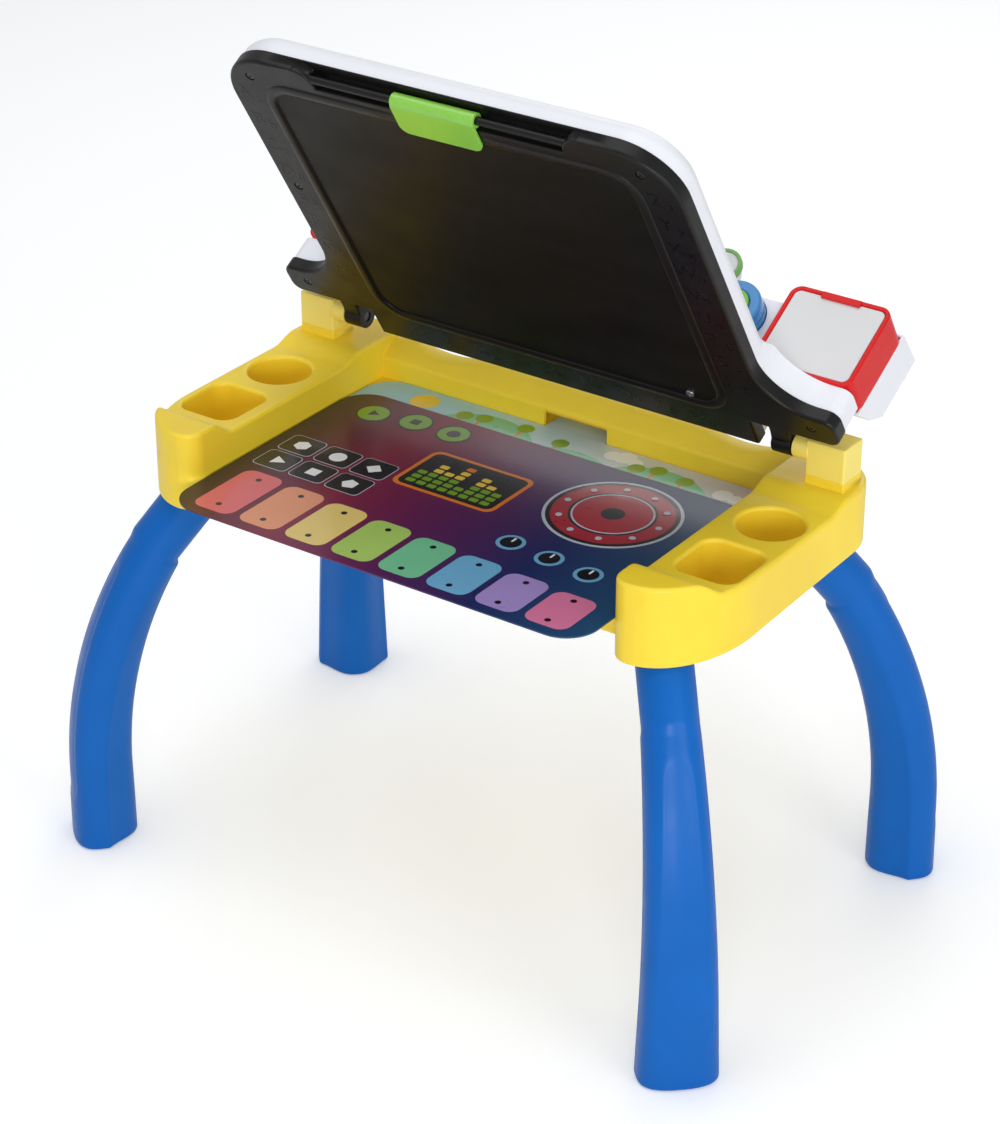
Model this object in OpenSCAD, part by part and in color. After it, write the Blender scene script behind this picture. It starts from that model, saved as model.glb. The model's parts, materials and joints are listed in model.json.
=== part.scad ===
// Child's learning desk: a tray on four arched legs, and a lid that is a desktop on one side
// and a chalkboard on the other. Millimetres, +Z up, origin on the floor under the middle.

/* [Tray] */
// Overall width of the tray across its two arms
tray_w = 508; // [500:2:520]
// Overall depth of the tray, front to back
tray_d = 264; // [258:2:274]
// Width of each side arm
arm_w = 70; // [68:1:74]
// Height of the arm tops above the floor
arm_top = 346; // [336:1:356]
// Rise of the rounded nose at the front of each arm
nose_rise = 12; // [6:0.5:14]
// Length of the nose along the arm
nose_len = 25; // [20:1:34]
// Length of the arm's long outer corner at the front
front_round_l = 80; // [60:1:86]
// Radius of the arm's outer corner at the back
arm_outer_r = 44; // [36:1:46]
// Radius of the arm's inner corners
arm_inner_r = 15; // [10:1:20]
// Rise of the arm's rear end
shoulder_rise = 6; // [3:0.5:8]
// Length of the arm's rear end
shoulder_len = 56; // [50:1:60]
// Length of the curves that lead to the nose and to the rear end
ramp_len = 25; // [18:1:26]
// Rise of the pedestals that carry the hinge posts
step_rise = 13; // [10:0.5:15]
// Height of the outer skirt at the front
skirt_h = 50; // [46:1:54]
// Rise of the skirt's lower edge towards the back
skirt_rise = 8; // [0:1:14]
// Thickness of the tray's walls
tray_wall = 3; // [2.5:0.25:3.5]
// Depth of the storage floor below the arm tops
floor_drop = 27; // [24:1:30]
// How far the storage floor stays behind the front of the arms
floor_setback = 18; // [10:1:30]
// Width of the rear beam at its foot
beam_w = 30; // [28:1:33]
// Width of the rear beam's flat top
beam_top_w = 13.5; // [11:0.5:15]
// Height of the rear beam's upright inner face above the storage floor
beam_face_h = 17; // [14:1:20]
// Depth of the two hollows in the top edge of the rear beam
dip_depth = 5; // [2:0.5:7]
// Radius of those hollows
dip_r = 110; // [90:5:140]
// Distance of each hollow from the middle
dip_x = 135; // [120:1:145]

/* [Pen wells] */
// Diameter of the round well
round_well_d = 50; // [44:1:54]
// Distance of the round well in front of the tray's back
well_back = 87; // [84:1:92]
// Width of the square well across the arm
square_well_w = 50; // [44:1:54]
// Width of the bridge between the two wells
well_apart = 16; // [12:1:22]
// Corner radius of the square well
square_well_r = 12; // [8:1:18]
// Distance of the square well behind the tray's front
well_front = 57; // [54:1:62]
// Distance of both wells outside the arm's middle line
well_shift = 3; // [0:0.5:5]
// Depth of both wells
well_depth = 38; // [30:1:40]

/* [Legs] */
// Distance of a foot outside the end of its arm, across the desk
foot_reach_x = 51; // [46:1:56]
// Distance of a foot outside the end of its arm, front to back
foot_reach_y = 67; // [62:1:72]
// Angle of the leg's arch from straight sideways
leg_splay = 47; // [43:1:51]
// Radius of the leg's arch
leg_bend_r = 350; // [340:2:360]
// Angle through which the leg arches
leg_bend = 39; // [37:0.5:41]
// Height from the arch's end up to the arm tops
neck_drop = 66; // [62:1:70]
// Diameter of the round neck
neck_d = 41; // [38:0.5:42]
// Length of the neck below the arch's end
neck_collar = 42; // [30:1:50]
// Length of the neck above the arch's end
neck_in = 14; // [10:1:16]
// Diameter of the upright peg on top of the neck
peg_d = 28; // [24:0.5:30]
// Depth of the peg in its socket
peg_in = 28; // [22:1:32]
// Width of a foot
foot_w = 60; // [54:1:66]
// Bulge of the foot's outer face
foot_out = 23; // [20:0.5:25]
// Thickness of the foot's side flanks behind its middle line
foot_flank = 8; // [6:0.5:11]
// Depth of the rounded rib behind the flanks
foot_rib = 20; // [14:0.5:24]
// Clearance of the peg in its socket
socket_fit = 0.2; // [0.1:0.05:0.4]
// Wall of the leg socket
socket_wall = 3; // [2.5:0.25:4]

/* [Cards] */
// Clearance between a card and the arm on each side of it
card_side_gap = 2; // [1:0.5:4]
// Length of a card, front to back
card_l = 235; // [225:1:240]
// Thickness of a card
card_t = 1.2; // [0.8:0.1:1.6]
// Corner radius of a card
card_r = 26; // [18:1:32]
// How far the upper card lies in front of the lower one
card_shift = 32; // [26:1:40]
// Width of the lower card's tab
tab_w = 54; // [44:1:62]
// Length of the lower card's tab
tab_l = 20; // [14:1:24]
// Clearance round the tab in its slot
tab_gap = 2; // [1:0.5:4]

/* [Hinge] */
// Height of the hinge axis above the rear platform
hinge_rise = 17; // [15:0.5:20]
// Distance of the hinge axis in front of the tray's back
hinge_setback = 45.5; // [43:0.5:48]
// Width of a hinge post
post_w = 32; // [28:1:34]
// Distance of the post's middle outside the arm's middle line
post_shift = 11.4; // [9:0.2:12]
// Depth of the post in front of the hinge axis
post_front = 8.1; // [7:0.1:9]
// Depth of the post behind the hinge axis
post_back = 18; // [16:0.5:21]
// Radius of the post's barrel
barrel_r = 9.3; // [8:0.1:10]
// Reach of the barrel towards the lid's lug
barrel_reach = 11.7; // [9:0.1:14]
// Gap between the barrel and the lug
lug_gap = 0.7; // [0.4:0.1:1]
// Width of the lug
lug_w = 16; // [12:1:20]
// Radius of the hinge pin
pin_r = 4; // [3:0.1:5]
// Running clearance of the pin in the lug
pin_fit = 0.05; // [0.02:0.01:0.1]
// Angle of the lid from closed, as shown
lid_open = 58.6; // [0:0.1:80]

/* [Lid] */
// Half width of the lid beside the wells
lid_half_w = 190; // [184:1:194]
// Length of the lid from the hinge axis to its front edge
lid_len = 314; // [304:1:324]
// Radius of the lid's front corners
lid_corner_r = 45; // [35:1:55]
// Radius of the sweep from the side to the flare
sweep_r = 42; // [36:1:43]
// Length of the flare's front edge from the hinge axis
flare_len = 49; // [46:1:54]
// Distance of the flare's rear edge from the hinge axis
flare_start = 20; // [18:0.5:22]
// Radius of the flare's tip
flare_tip_r = 9; // [6:0.5:12]
// Half width of the lid's middle behind the flares
heel_half_w = 171; // [165:1:176]
// Reach of the lid's middle behind the hinge axis
heel_back = 8; // [6:0.5:10]
// Depth of the chalkboard face below the hinge axis when closed
face_drop = 5.3; // [4.5:0.1:6]
// Height of the black frame
frame_h = 11; // [10:0.5:13]
// Height of the white shell
shell_h = 21; // [18:0.5:24]
// Radius of the white shell's rounded edge
deck_edge_r = 16; // [10:0.5:18]
// Step between the frame's edge and the white shell
shell_step = 1; // [0.5:0.25:2]
// Thickness of the frame's and the shell's walls
lid_wall = 3; // [2.5:0.25:3.5]
// Thickness of the plate behind the chalkboard
frame_plate = 4; // [3.5:0.25:5]
// Solid rail along the lid's front edge
rail_w = 28; // [24:1:32]

/* [Chalkboard] */
// Width of the frame beside the chalkboard
board_side = 39; // [32:1:50]
// Distance of the chalkboard's lower edge from the hinge axis
board_near = 32; // [28:1:40]
// Width of the frame between the chalkboard and the lid's front edge
board_front = 30; // [29:1:44]
// Corner radius of the chalkboard
board_r = 20; // [12:1:30]
// Thickness of the chalkboard panel
board_t = 1.6; // [1.2:0.1:2]
// Depth of the panel's face below the frame
board_inset = 0.6; // [0.3:0.1:1]
// Clearance round the panel
board_gap = 0.3; // [0.1:0.05:0.5]

/* [Paper clip] */
// Half width of the notch in the front edge
notch_half_w = 104; // [96:1:112]
// Depth of the notch
notch_depth = 16; // [14.6:0.2:18]
// Thickness of the wall behind the notch
notch_back = 1.5; // [1:0.25:2]
// Radius of the clip's bar
bar_r = 3; // [2.5:0.1:3.3]
// Distance of the bar from the front edge
bar_in = 9; // [8.6:0.1:9.6]
// Depth of the bar's axis above the chalkboard face
bar_up = 3.3; // [3:0.1:3.6]
// Length of the bar inside each end of the notch
bar_seat = 10; // [6:1:14]
// Width of the clip
clip_w = 70; // [50:1:80]
// Radius of the clip's sleeve
sleeve_r = 5.6; // [5.3:0.1:5.8]
// Thickness of the clip's tongue
tongue_t = 2.4; // [2:0.1:3]
// Length of the tongue from the bar
tongue_l = 27; // [22:1:30]
// Gap for paper under the tongue
paper_gap = 0.4; // [0.3:0.05:0.8]
// Length of the spring inside the sleeve
spring_l = 20; // [14:1:24]
// Wire diameter of the spring
spring_wire = 0.9; // [0.7:0.1:1]

/* [Desktop] */
// Distance of the touch panel from the lid's side
panel_side = 30; // [24:1:40]
// Distance of the touch panel's near edge from the hinge axis
panel_near = 76; // [70:1:84]
// Distance of the touch panel from the lid's front edge
panel_front = 24; // [20:1:34]
// Corner radius of the touch panel
panel_r = 16; // [8:1:24]
// Thickness of the touch panel
panel_t = 2; // [1.6:0.1:2.4]
// Width of the ledge under the panel's edge
ledge_w = 10; // [6:1:14]
// Thickness of the touch sensor
sensor_t = 0.8; // [0.5:0.1:1]
// Clearance round panels
panel_gap = 0.3; // [0.1:0.05:0.5]

/* [Console] */
// Width of each red module
module_w = 82; // [78:1:86]
// Height of each red module above the desktop
module_h = 73; // [68:1:78]
// Corner radius of a module
module_r = 9; // [6:0.5:12]
// Distance of the module faces in front of the hinge axis
module_front = 50; // [48:0.5:54]
// Distance of the split between front and back in front of the hinge axis
console_split = 17; // [15:0.5:19]
// Distance of the console's outer ends inside the flares
console_in = 3.4; // [2:0.2:6]
// Reach of the console behind the hinge axis
console_back = 17; // [15:0.5:18]
// Height of the console's back above the desktop
console_h = 75; // [72:0.5:80]
// Rise of the console's top towards the back
console_rise = 3; // [0:0.5:5]
// Height of the back's lower edge above the desktop
heel_h = 24; // [20:0.5:26]
// Height of the sloping underside's foot above the desktop
belly_h = 11; // [9:0.5:13]
// Thickness of the console's walls
console_wall = 2.5; // [2:0.25:3]
// Rim of a module round its panel
rim_w = 4; // [3:0.5:5]
// Depth of a module's panel below its rim
rim_drop = 0.8; // [0.4:0.1:1.5]
// Thickness of the ledge under a module's panel
module_ledge_t = 1.2; // [1:0.1:1.6]
// Distance of the fascia's face in front of the hinge axis
fascia_front = 44; // [42:0.5:46]
// Height of the fascia above the desktop
fascia_h = 58; // [56:0.5:60]
// Gap between the fascia and the modules
fascia_gap = 0.5; // [0.3:0.1:1]

/* [Handset] */
// Length of the handset
handset_l = 148; // [136:1:152]
// Radius of its round ends
handset_end_r = 22; // [20:0.5:23]
// Height of its grip
handset_grip = 26; // [20:1:30]
// Thickness of the handset
handset_t = 22; // [18:0.5:24]
// Distance of the handset's right end from the middle
handset_right = 152; // [148:0.5:154]
// Height of its middle line above the desktop
handset_up = 36; // [35:0.5:37]
// Depth of the cradle
cradle_depth = 6; // [4:0.5:7]
// Clearance round the handset in its cradle
cradle_gap = 0.4; // [0.3:0.05:0.8]
// Radius of the ear and mouth pads
ear_r = 13; // [10:0.5:15]
// How far the pads stand proud
ear_proud = 1; // [0.5:0.1:1.5]

/* [Dial, keys and switch] */
// Distance of the dial from the middle
dial_x = 88; // [80:1:96]
// Height of the dial's centre above the desktop
dial_up = 83; // [82:0.5:86]
// Outer radius of the dial
dial_r = 15.5; // [13:0.5:17]
// Width of the dial's rim
dial_rim = 3; // [2:0.25:4]
// Thickness of the dial
dial_t = 5.5; // [4:0.5:7]
// Gap between the dial and its boss
dial_gap = 0.4; // [0.3:0.05:0.6]
// Radius of the boss behind the dial
dial_boss_r = 12; // [10:0.5:13]
// Radius of the dial's stem
dial_stem_r = 3; // [2.5:0.1:4]
// Radius of a key
key_r = 12; // [10:0.5:13]
// Distance between keys
key_pitch = 34; // [31:0.5:36]
// Distance of the middle key from the middle
key_x = 96; // [90:1:100]
// Height of the keys above the desktop
key_up = 40; // [36:0.5:44]
// How far a key stands proud
key_proud = 4; // [3:0.5:5]
// Travel of a key
key_travel = 2; // [1:0.25:2.5]
// Clearance round a key
key_gap = 0.4; // [0.3:0.05:0.6]
// Distance of the power switch from the middle
switch_x = 96; // [88:1:104]
// Height of the power switch above the desktop
switch_up = 11; // [10:0.5:11.5]
// Travel of the power switch
switch_travel = 8; // [5:0.5:10]

/* [Electronics] */
// Width of the main board
main_w = 180; // [170:1:190]
// Height of the main board
main_h = 38; // [34:1:39]
// Thickness of the circuit boards
pcb_t = 1.6; // [1.2:0.1:2]
// Radius of the speaker
speaker_r = 26; // [22:0.5:28]
// Depth of the speaker
speaker_t = 18; // [14:0.5:22]
// Radius of a battery cell
cell_r = 7; // [6.6:0.05:7.1]
// Length of a battery cell
cell_l = 50.5; // [49:0.5:51]

/* [Screws] */
// Radius of a screw's shank
screw_r = 1.5; // [1.2:0.1:1.8]
// Radius of a screw's head
head_r = 3.4; // [3:0.1:3.8]
// Thickness of a screw's head
head_t = 2; // [1.6:0.1:2.4]
// Clearance round a screw's head
head_gap = 0.4; // [0.2:0.05:0.6]
// Wall of a screw boss round the shank
boss_wall = 2.6; // [2:0.1:3]

/* [Hidden] */
$fn = 64;
eps = 0.01;
ramp_steps = 8;

arm_x = tray_w / 2 - arm_w / 2;
arm_end_y = tray_d / 2 - arm_w / 2;
arm_in = tray_w / 2 - arm_w;
nose_z = arm_top + nose_rise;
shoulder_z = arm_top + shoulder_rise;
post_z = arm_top + step_rise;
skirt_z = arm_top - skirt_h;
floor_z = arm_top - floor_drop;
skirt_knee_y = -30;
beam_in_y = tray_d / 2 - beam_w;
beam_rim_y = tray_d / 2 - beam_top_w;
beam_face_z = floor_z + beam_face_h;
beam_hollow_z = arm_top - dip_depth - tray_wall;
floor_front_y = -tray_d / 2 + floor_setback;
round_well_y = tray_d / 2 - well_back - round_well_d / 2;
square_well_l = tray_d - well_front - well_back - round_well_d - well_apart;
square_well_y = tray_d / 2 - well_front - square_well_l / 2;

foot_x = arm_x + foot_reach_x;
foot_y = arm_end_y + foot_reach_y;
arch_end_z = arm_top - neck_drop;
arch_end_in = leg_bend_r * (1 - cos(leg_bend));
leg_straight = arch_end_z - leg_bend_r * sin(leg_bend);
leg_sides = 28;
leg_straight_rings = 5;
leg_arch_rings = 8;
leg_top_bend = leg_bend - 4;
neck_step = 2;
neck_end_in = arch_end_in + neck_in * sin(leg_bend);
socket_gap = 1;
socket_d = peg_d + 2 * socket_fit;
socket_z = arch_end_z + neck_in * cos(leg_bend) + neck_d / 2 * sin(leg_bend) + socket_gap;

card_w = 2 * (arm_in - card_side_gap);
lower_card_y = beam_in_y - 1 - card_l / 2;
upper_card_y = lower_card_y - card_shift;
card_lift = 0.2;

hinge_y = tray_d / 2 - hinge_setback;
hinge_z = post_z + hinge_rise;
post_x = arm_x + post_shift;
post_in = post_x - post_w / 2;
barrel_in = post_in - barrel_reach;
lug_out = barrel_in - lug_gap;
lug_in = lug_out - lug_w;
pin_seat = post_w - 6;
flare_half_w = post_x + post_w / 2;
post_screw_apart = 14;
post_screw_in = 4;
post_screw_l = step_rise - shoulder_rise + tray_wall + 9;

face_z = -face_drop;
split_z = face_z + frame_h;
deck_z = split_z + shell_h;
pocket_z = face_z + board_inset + board_t;
sweep = min(sweep_r, flare_half_w - flare_tip_r - lid_half_w);
board_half_w = lid_half_w - board_side;
board_far = lid_len - board_front;
panel_half_w = lid_half_w - panel_side;
panel_far = lid_len - panel_front;
bar_y = -lid_len + bar_in;
bar_z = face_z + bar_up;
bar_half_l = notch_half_w + bar_seat;
spring_gap = 0.25;

console_half_w = flare_half_w - console_in;
module_x = console_half_w - module_w / 2;
module_mid_z = deck_z + module_h / 2;
fascia_half_w = console_half_w - module_w - fascia_gap;
fascia_top = deck_z + fascia_h;
console_top = deck_z + console_h;
inner_y = console_back - console_wall;
module_panel_w = module_w - 2 * rim_w;
module_panel_h = module_h - 2 * rim_w;
module_panel_y = -module_front + rim_drop;
module_ledge_y = module_panel_y + panel_t;
module_inner_y = module_ledge_y + module_ledge_t;
handset_z = deck_z + handset_up;
handset_left = handset_right - handset_l;
cradle_y = -fascia_front + cradle_depth;
handset_y = cradle_y - 0.3;
handset_top_y = handset_y - handset_t;
handset_mid_y = handset_y - handset_t / 2;
dial_z = deck_z + dial_up;
dial_back_y = -console_split - 10;
plate_in_y = -fascia_front + console_wall;
key_z = deck_z + key_up;
key_flange = 1.8;
key_flange_t = 1.5;
switch_z = deck_z + switch_up;
switch_neck_w = 8;
switch_neck_h = 5;
switch_gap = 0.4;
switch_slot = [switch_neck_w + switch_travel + 2 * switch_gap, switch_neck_h + 2 * switch_gap];
switch_cap = [switch_neck_w + 4, switch_neck_h + 3];
tact_h = 1;

key_slack = 0.3;
key_stem_r = 3;
main_x = -50;
main_z0 = deck_z + 16.3;
rib_t = 2;
grille_pitch = 11;
grille_hole_r = 2.5;
tongue_r = 8;
ear_t = 2;
belly_y = console_back - heel_h + belly_h;

box_wall = 2;
box_in_h = 6 * cell_r + 1;
contact_t = 0.6;
cell_pitch = 2 * cell_r + 0.3;
cell_clear = 0.2;
box_half_l = cell_l / 2 + 1;
box_x = -module_x - 4;
box_mid_z = console_top - console_wall - 0.1 - box_wall - box_in_h / 2;
box_floor_y = inner_y - 2 * cell_r - 1;
flange_w = 2.8;
door_w = module_w - 2 * (console_wall + flange_w + 0.2);
door_r = 4;
door_gap = 0.3;
boss_r = screw_r + boss_wall;
door_screw_x = door_w / 2 - module_x - boss_r - 0.5;

side_screw_in = 14;
corner_screw_in = 26;
corner_screw_back = 20;
flare_screw_in = 20.4;
flare_screw_back = 13;
lid_screws_at = [
    [lid_half_w - corner_screw_in, corner_screw_back - lid_len],
    [lid_half_w - side_screw_in, -(lid_len + panel_front) / 2],
    [flare_half_w - flare_screw_in, flare_screw_back - flare_len]
];
module_boss_out = 36;
console_screws_at = [[-152, 47], [90, 43], [module_x + module_boss_out, 60]];
head_sink = head_t + 0.5;
screw_sink = 1.2;
screw_l = 14;
console_screw_l = 42;
console_boss_l = console_back + console_split - screw_sink - console_wall / 2;
board_screw_x = board_half_w - 25;
board_screw_y = board_near + 5;

// Shared shapes

function blend(a, b, t) = a + (b - a) * (1 - cos(180 * t)) / 2;

module rounded_rect(w, h, r) {
    square([w - 2 * r, h], center = true);
    square([w, h - 2 * r], center = true);
    for (sx = [-1, 1])
        for (sy = [-1, 1])
            translate([sx * (w / 2 - r), sy * (h / 2 - r)])
                circle(r);
}

// A flat outline in X and Y, from height z0 to z1
module slab(z0, z1) {
    translate([0, 0, z0])
        linear_extrude(z1 - z0)
            children();
}

// An outline in X and Z, from depth y0 to y1
module upright(y0, y1) {
    translate([0, y1, 0])
        rotate([90, 0, 0])
            linear_extrude(y1 - y0)
                children();
}

// An outline in Y and Z, drawn out across the desk
module across(w) {
    rotate([90, 0, 90])
        linear_extrude(w, center = true)
            children();
}

module rod_y(r, y0, y1) {
    translate([0, y1, 0])
        rotate([90, 0, 0])
            cylinder(r = r, h = y1 - y0);
}

module rod_x(r, x0, x1) {
    translate([x0, 0, 0])
        rotate([0, 90, 0])
            cylinder(r = r, h = x1 - x0);
}

module both_sides() {
    children();
    mirror([1, 0, 0])
        children();
}

// A pan-head screw that points up, with the underside of its head at the origin
module screw_up(l) {
    translate([0, 0, -head_t])
        cylinder(r = head_r, h = head_t);
    translate([0, 0, -eps])
        cylinder(r = screw_r, h = l);
}

// Tray

module arm_plan(inset) {
    for (sy = [-1, 1])
        translate([arm_in + arm_inner_r, sy * (tray_d / 2 - arm_inner_r)])
            circle(arm_inner_r - inset);
    translate([tray_w / 2 - arm_outer_r, tray_d / 2 - arm_outer_r])
        circle(arm_outer_r - inset);
    translate([arm_in + arm_inner_r, front_round_l - tray_d / 2])
        intersection() {
            scale([arm_w - arm_inner_r - inset, front_round_l - inset])
                circle(1);
            translate([0, -front_round_l])
                square([arm_w, front_round_l]);
        }
    translate([arm_in + arm_inner_r, arm_inner_r - tray_d / 2])
        square([arm_w - arm_inner_r - arm_outer_r, tray_d - arm_inner_r - inset]);
    translate([arm_in + inset, arm_inner_r - tray_d / 2])
        square([arm_w / 3, tray_d - 2 * arm_inner_r]);
    translate([arm_in + arm_inner_r, front_round_l - tray_d / 2])
        square([arm_w - arm_inner_r - inset, tray_d - front_round_l - arm_outer_r]);
}

nose_end_y = -tray_d / 2 + nose_len;
shoulder_y = tray_d / 2 - shoulder_len;
function ramp(y, z0, z1) = [
    for (k = [0:ramp_steps]) [y + ramp_len * k / ramp_steps, blend(z0, z1, k / ramp_steps)]
];
arm_top_line = concat(
    [[-tray_d / 2, nose_z]],
    ramp(nose_end_y, nose_z, arm_top),
    ramp(shoulder_y - ramp_len, arm_top, shoulder_z),
    [[tray_d / 2, shoulder_z]]
);
skirt_line = [
    [tray_d / 2, skirt_z + skirt_rise], [skirt_knee_y, skirt_z + skirt_rise / 2], [-tray_d / 2, skirt_z]
];

// The arm's side view, with its top lowered and its foot lengthened
module arm_side(lower, lengthen) {
    polygon(concat(
        [for (p = arm_top_line) [p[0], p[1] - lower]],
        [for (p = skirt_line) [p[0], p[1] - lengthen]]
    ));
}

module arm_solid(inset, lower, lengthen) {
    intersection() {
        slab(skirt_z - 2 * skirt_h, post_z)
            arm_plan(inset);
        translate([arm_x, 0, 0])
            across(arm_w - 2 * inset)
                arm_side(lower, lengthen);
    }
}

module well_cups(grow, sink) {
    cup_h = well_depth + sink + (sink > 0 ? -tray_wall / 2 : step_rise);
    translate([arm_x + well_shift, round_well_y, arm_top - well_depth - sink])
        cylinder(d = round_well_d + 2 * grow, h = cup_h);
    translate([arm_x + well_shift, -square_well_y, arm_top - well_depth - sink])
        linear_extrude(cup_h)
            rounded_rect(square_well_w + 2 * grow, square_well_l + 2 * grow, square_well_r + grow);
}

// Places a child that is drawn with the foot at the origin and the arch leaning towards -X
module at_leg(sx, sy) {
    mirror([sx < 0 ? 1 : 0, 0, 0])
        mirror([0, sy < 0 ? 1 : 0, 0])
            translate([foot_x, foot_y, 0])
                rotate([0, 0, leg_splay])
                    children();
}

// Places a child under the socket's mouth, on the peg's axis
module at_socket() {
    translate([-neck_end_in, 0, socket_z])
        children();
}

// Places a screw that goes through the socket's wall into the peg
module leg_screw_at() {
    at_socket()
        translate([-socket_d / 2 - socket_wall, 0, peg_in / 2])
            rotate([0, 90, 0])
                children();
}

module leg_socket(sy) {
    intersection() {
        at_leg(1, sy)
            at_socket()
                cylinder(d = socket_d + 2 * socket_wall, h = post_z - socket_z);
        arm_solid(tray_wall / 2, tray_wall / 2, 0);
    }
}

beam_outline = [
    [beam_in_y, floor_z - tray_wall], [beam_in_y, beam_face_z], [beam_rim_y, arm_top],
    [tray_d / 2, arm_top], [tray_d / 2, skirt_z + skirt_rise], [beam_in_y + tray_wall, skirt_z + skirt_rise]
];
beam_hollow = [
    [beam_in_y + tray_wall, skirt_z - eps], [beam_in_y + tray_wall, beam_face_z - tray_wall / 2],
    [beam_rim_y + tray_wall / 2, beam_hollow_z], [tray_d / 2 - tray_wall, beam_hollow_z],
    [tray_d / 2 - tray_wall, skirt_z - eps]
];

module rear_beam() {
    difference() {
        across(2 * (arm_in + tray_wall))
            polygon(beam_outline);
        across(2 * (arm_in + tray_wall) + 2)
            polygon(beam_hollow);
        both_sides()
            translate([dip_x, 0, arm_top + dip_r - dip_depth])
                rod_y(dip_r, beam_rim_y - beam_w, tray_d);
        slab(floor_z, floor_z + beam_face_h - tray_wall)
            translate([0, beam_in_y])
                square([tab_w + 2 * tab_gap, 2 * tray_wall + 1], center = true);
    }
}

module storage_floor() {
    slab(floor_z - tray_wall, floor_z)
        translate([-arm_in - tray_wall / 2, floor_front_y])
            square([2 * arm_in + tray_wall, tab_l + beam_in_y + tray_wall - floor_front_y]);
    slab(skirt_z + skirt_rise, floor_z)
        translate([-arm_in - tray_wall / 2, floor_front_y])
            square([2 * arm_in + tray_wall, tray_wall]);
}

module tray_shell() {
    color("#f2d03b")
        difference() {
            union() {
                both_sides() {
                    difference() {
                        arm_solid(0, 0, 0);
                        arm_solid(tray_wall, tray_wall, skirt_h);
                    }
                    well_cups(tray_wall, tray_wall);
                    slab(shoulder_z - tray_wall, post_z)
                        post_plan();
                    leg_socket(-1);
                    leg_socket(1);
                }
                rear_beam();
                storage_floor();
            }
            both_sides() {
                well_cups(0, 0);
                for (sy = [-1, 1])
                    at_leg(1, sy) {
                        at_socket()
                            translate([0, 0, -eps])
                                cylinder(d = socket_d, h = peg_in + eps);
                        leg_screw_at()
                            cylinder(r = screw_r, h = screw_l);
                    }
                post_screw_places()
                    cylinder(r = screw_r, h = post_screw_l);
            }
        }
}

// Legs

// A section of the leg: a bulged outer face, thin flanks and a round rib inside
function leg_section(w, out, flank, rib) = [
    for (k = [0:leg_sides - 1])
        let (a = 360 * k / leg_sides, c = cos(a), s = sin(a), m = abs(c))
        let (deep = c > 0 ? out * pow(m, 0.6) : -flank * pow(m, 0.4) - rib * pow(m, 4))
        [deep, w / 2 * sign(s) * pow(abs(s), 0.8)]
];

// One ring of the leg: share runs from 0 at the foot to 1 at the arch's end
function leg_ring(bend, z, share) =
    let (in = leg_bend_r * (1 - cos(bend)), top = neck_d / 2 - neck_step)
    let (w = foot_w + (2 * top - foot_w) * share, out = foot_out + (top - foot_out) * share)
    let (flank = foot_flank + (top - foot_flank) * pow(share, 2), rib = foot_rib * (1 - pow(share, 2)))
    [
        for (p = leg_section(w, out, flank, rib))
            [-in + p[0] * cos(bend), p[1], z + p[0] * sin(bend)]
    ];

leg_bends = concat(
    [for (k = [0:leg_straight_rings]) 0],
    [for (k = [1:leg_arch_rings]) leg_top_bend * k / leg_arch_rings]
);
leg_heights = concat(
    [for (k = [0:leg_straight_rings]) leg_straight * k / leg_straight_rings],
    [for (k = [1:leg_arch_rings]) leg_straight + leg_bend_r * sin(leg_top_bend * k / leg_arch_rings)]
);
leg_rings = leg_straight_rings + leg_arch_rings + 1;

module leg_body() {
    points = [
        for (i = [0:leg_rings - 1])
            each leg_ring(leg_bends[i], leg_heights[i], leg_heights[i] / leg_heights[leg_rings - 1])
    ];
    walls = [
        for (i = [0:leg_rings - 2])
            for (k = [0:leg_sides - 1])
                let (a = i * leg_sides + k, b = i * leg_sides + (k + 1) % leg_sides)
                each [[a, a + leg_sides, b + leg_sides], [a, b + leg_sides, b]]
    ];
    foot_cap = [[for (k = [0:leg_sides - 1]) k]];
    top_cap = [[for (k = [leg_sides - 1:-1:0]) (leg_rings - 1) * leg_sides + k]];
    polyhedron(points, concat(walls, foot_cap, top_cap));
}

module leg() {
    color("#1a66c8")
        difference() {
            union() {
                leg_body();
                translate([-arch_end_in, 0, arch_end_z])
                    rotate([0, -leg_bend, 0])
                        translate([0, 0, -neck_collar])
                            cylinder(d = neck_d, h = neck_collar + neck_in);
                translate([-neck_end_in, 0, arch_end_z])
                    cylinder(d = peg_d, h = socket_z + peg_in - arch_end_z);
            }
            leg_screw_at()
                cylinder(r = screw_r, h = screw_l);
        }
}

module leg_front_left() { at_leg(-1, -1) leg(); }
module leg_front_right() { at_leg(1, -1) leg(); }
module leg_rear_left() { at_leg(-1, 1) leg(); }
module leg_rear_right() { at_leg(1, 1) leg(); }

module leg_screws() {
    color("#b8bcc2")
        for (sx = [-1, 1])
            for (sy = [-1, 1])
                at_leg(sx, sy)
                    leg_screw_at()
                        screw_up(screw_l);
}

// Cards

module card_plan() {
    rounded_rect(card_w, card_l, card_r);
}

module picture_card() {
    color("#cfe4ee")
        slab(floor_z, floor_z + card_t)
            translate([0, lower_card_y]) {
                card_plan();
                translate([-tab_w / 2, card_l / 2 - card_r])
                    square([tab_w, card_r + tab_l]);
            }
}

module music_card() {
    color("#3a3f4a")
        slab(floor_z + card_t + card_lift, floor_z + 2 * card_t + card_lift)
            translate([0, upper_card_y])
                card_plan();
}

// Hinge

module post_plan() {
    translate([post_in, hinge_y - post_front])
        square([post_w, post_front + post_back]);
}

// Under the pedestal, pointing up into the post
module post_screw_places() {
    for (dx = [-post_screw_apart / 2, post_screw_apart / 2])
        translate([post_x + dx, hinge_y - post_front + post_screw_in, shoulder_z - tray_wall])
            children();
}

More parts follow.
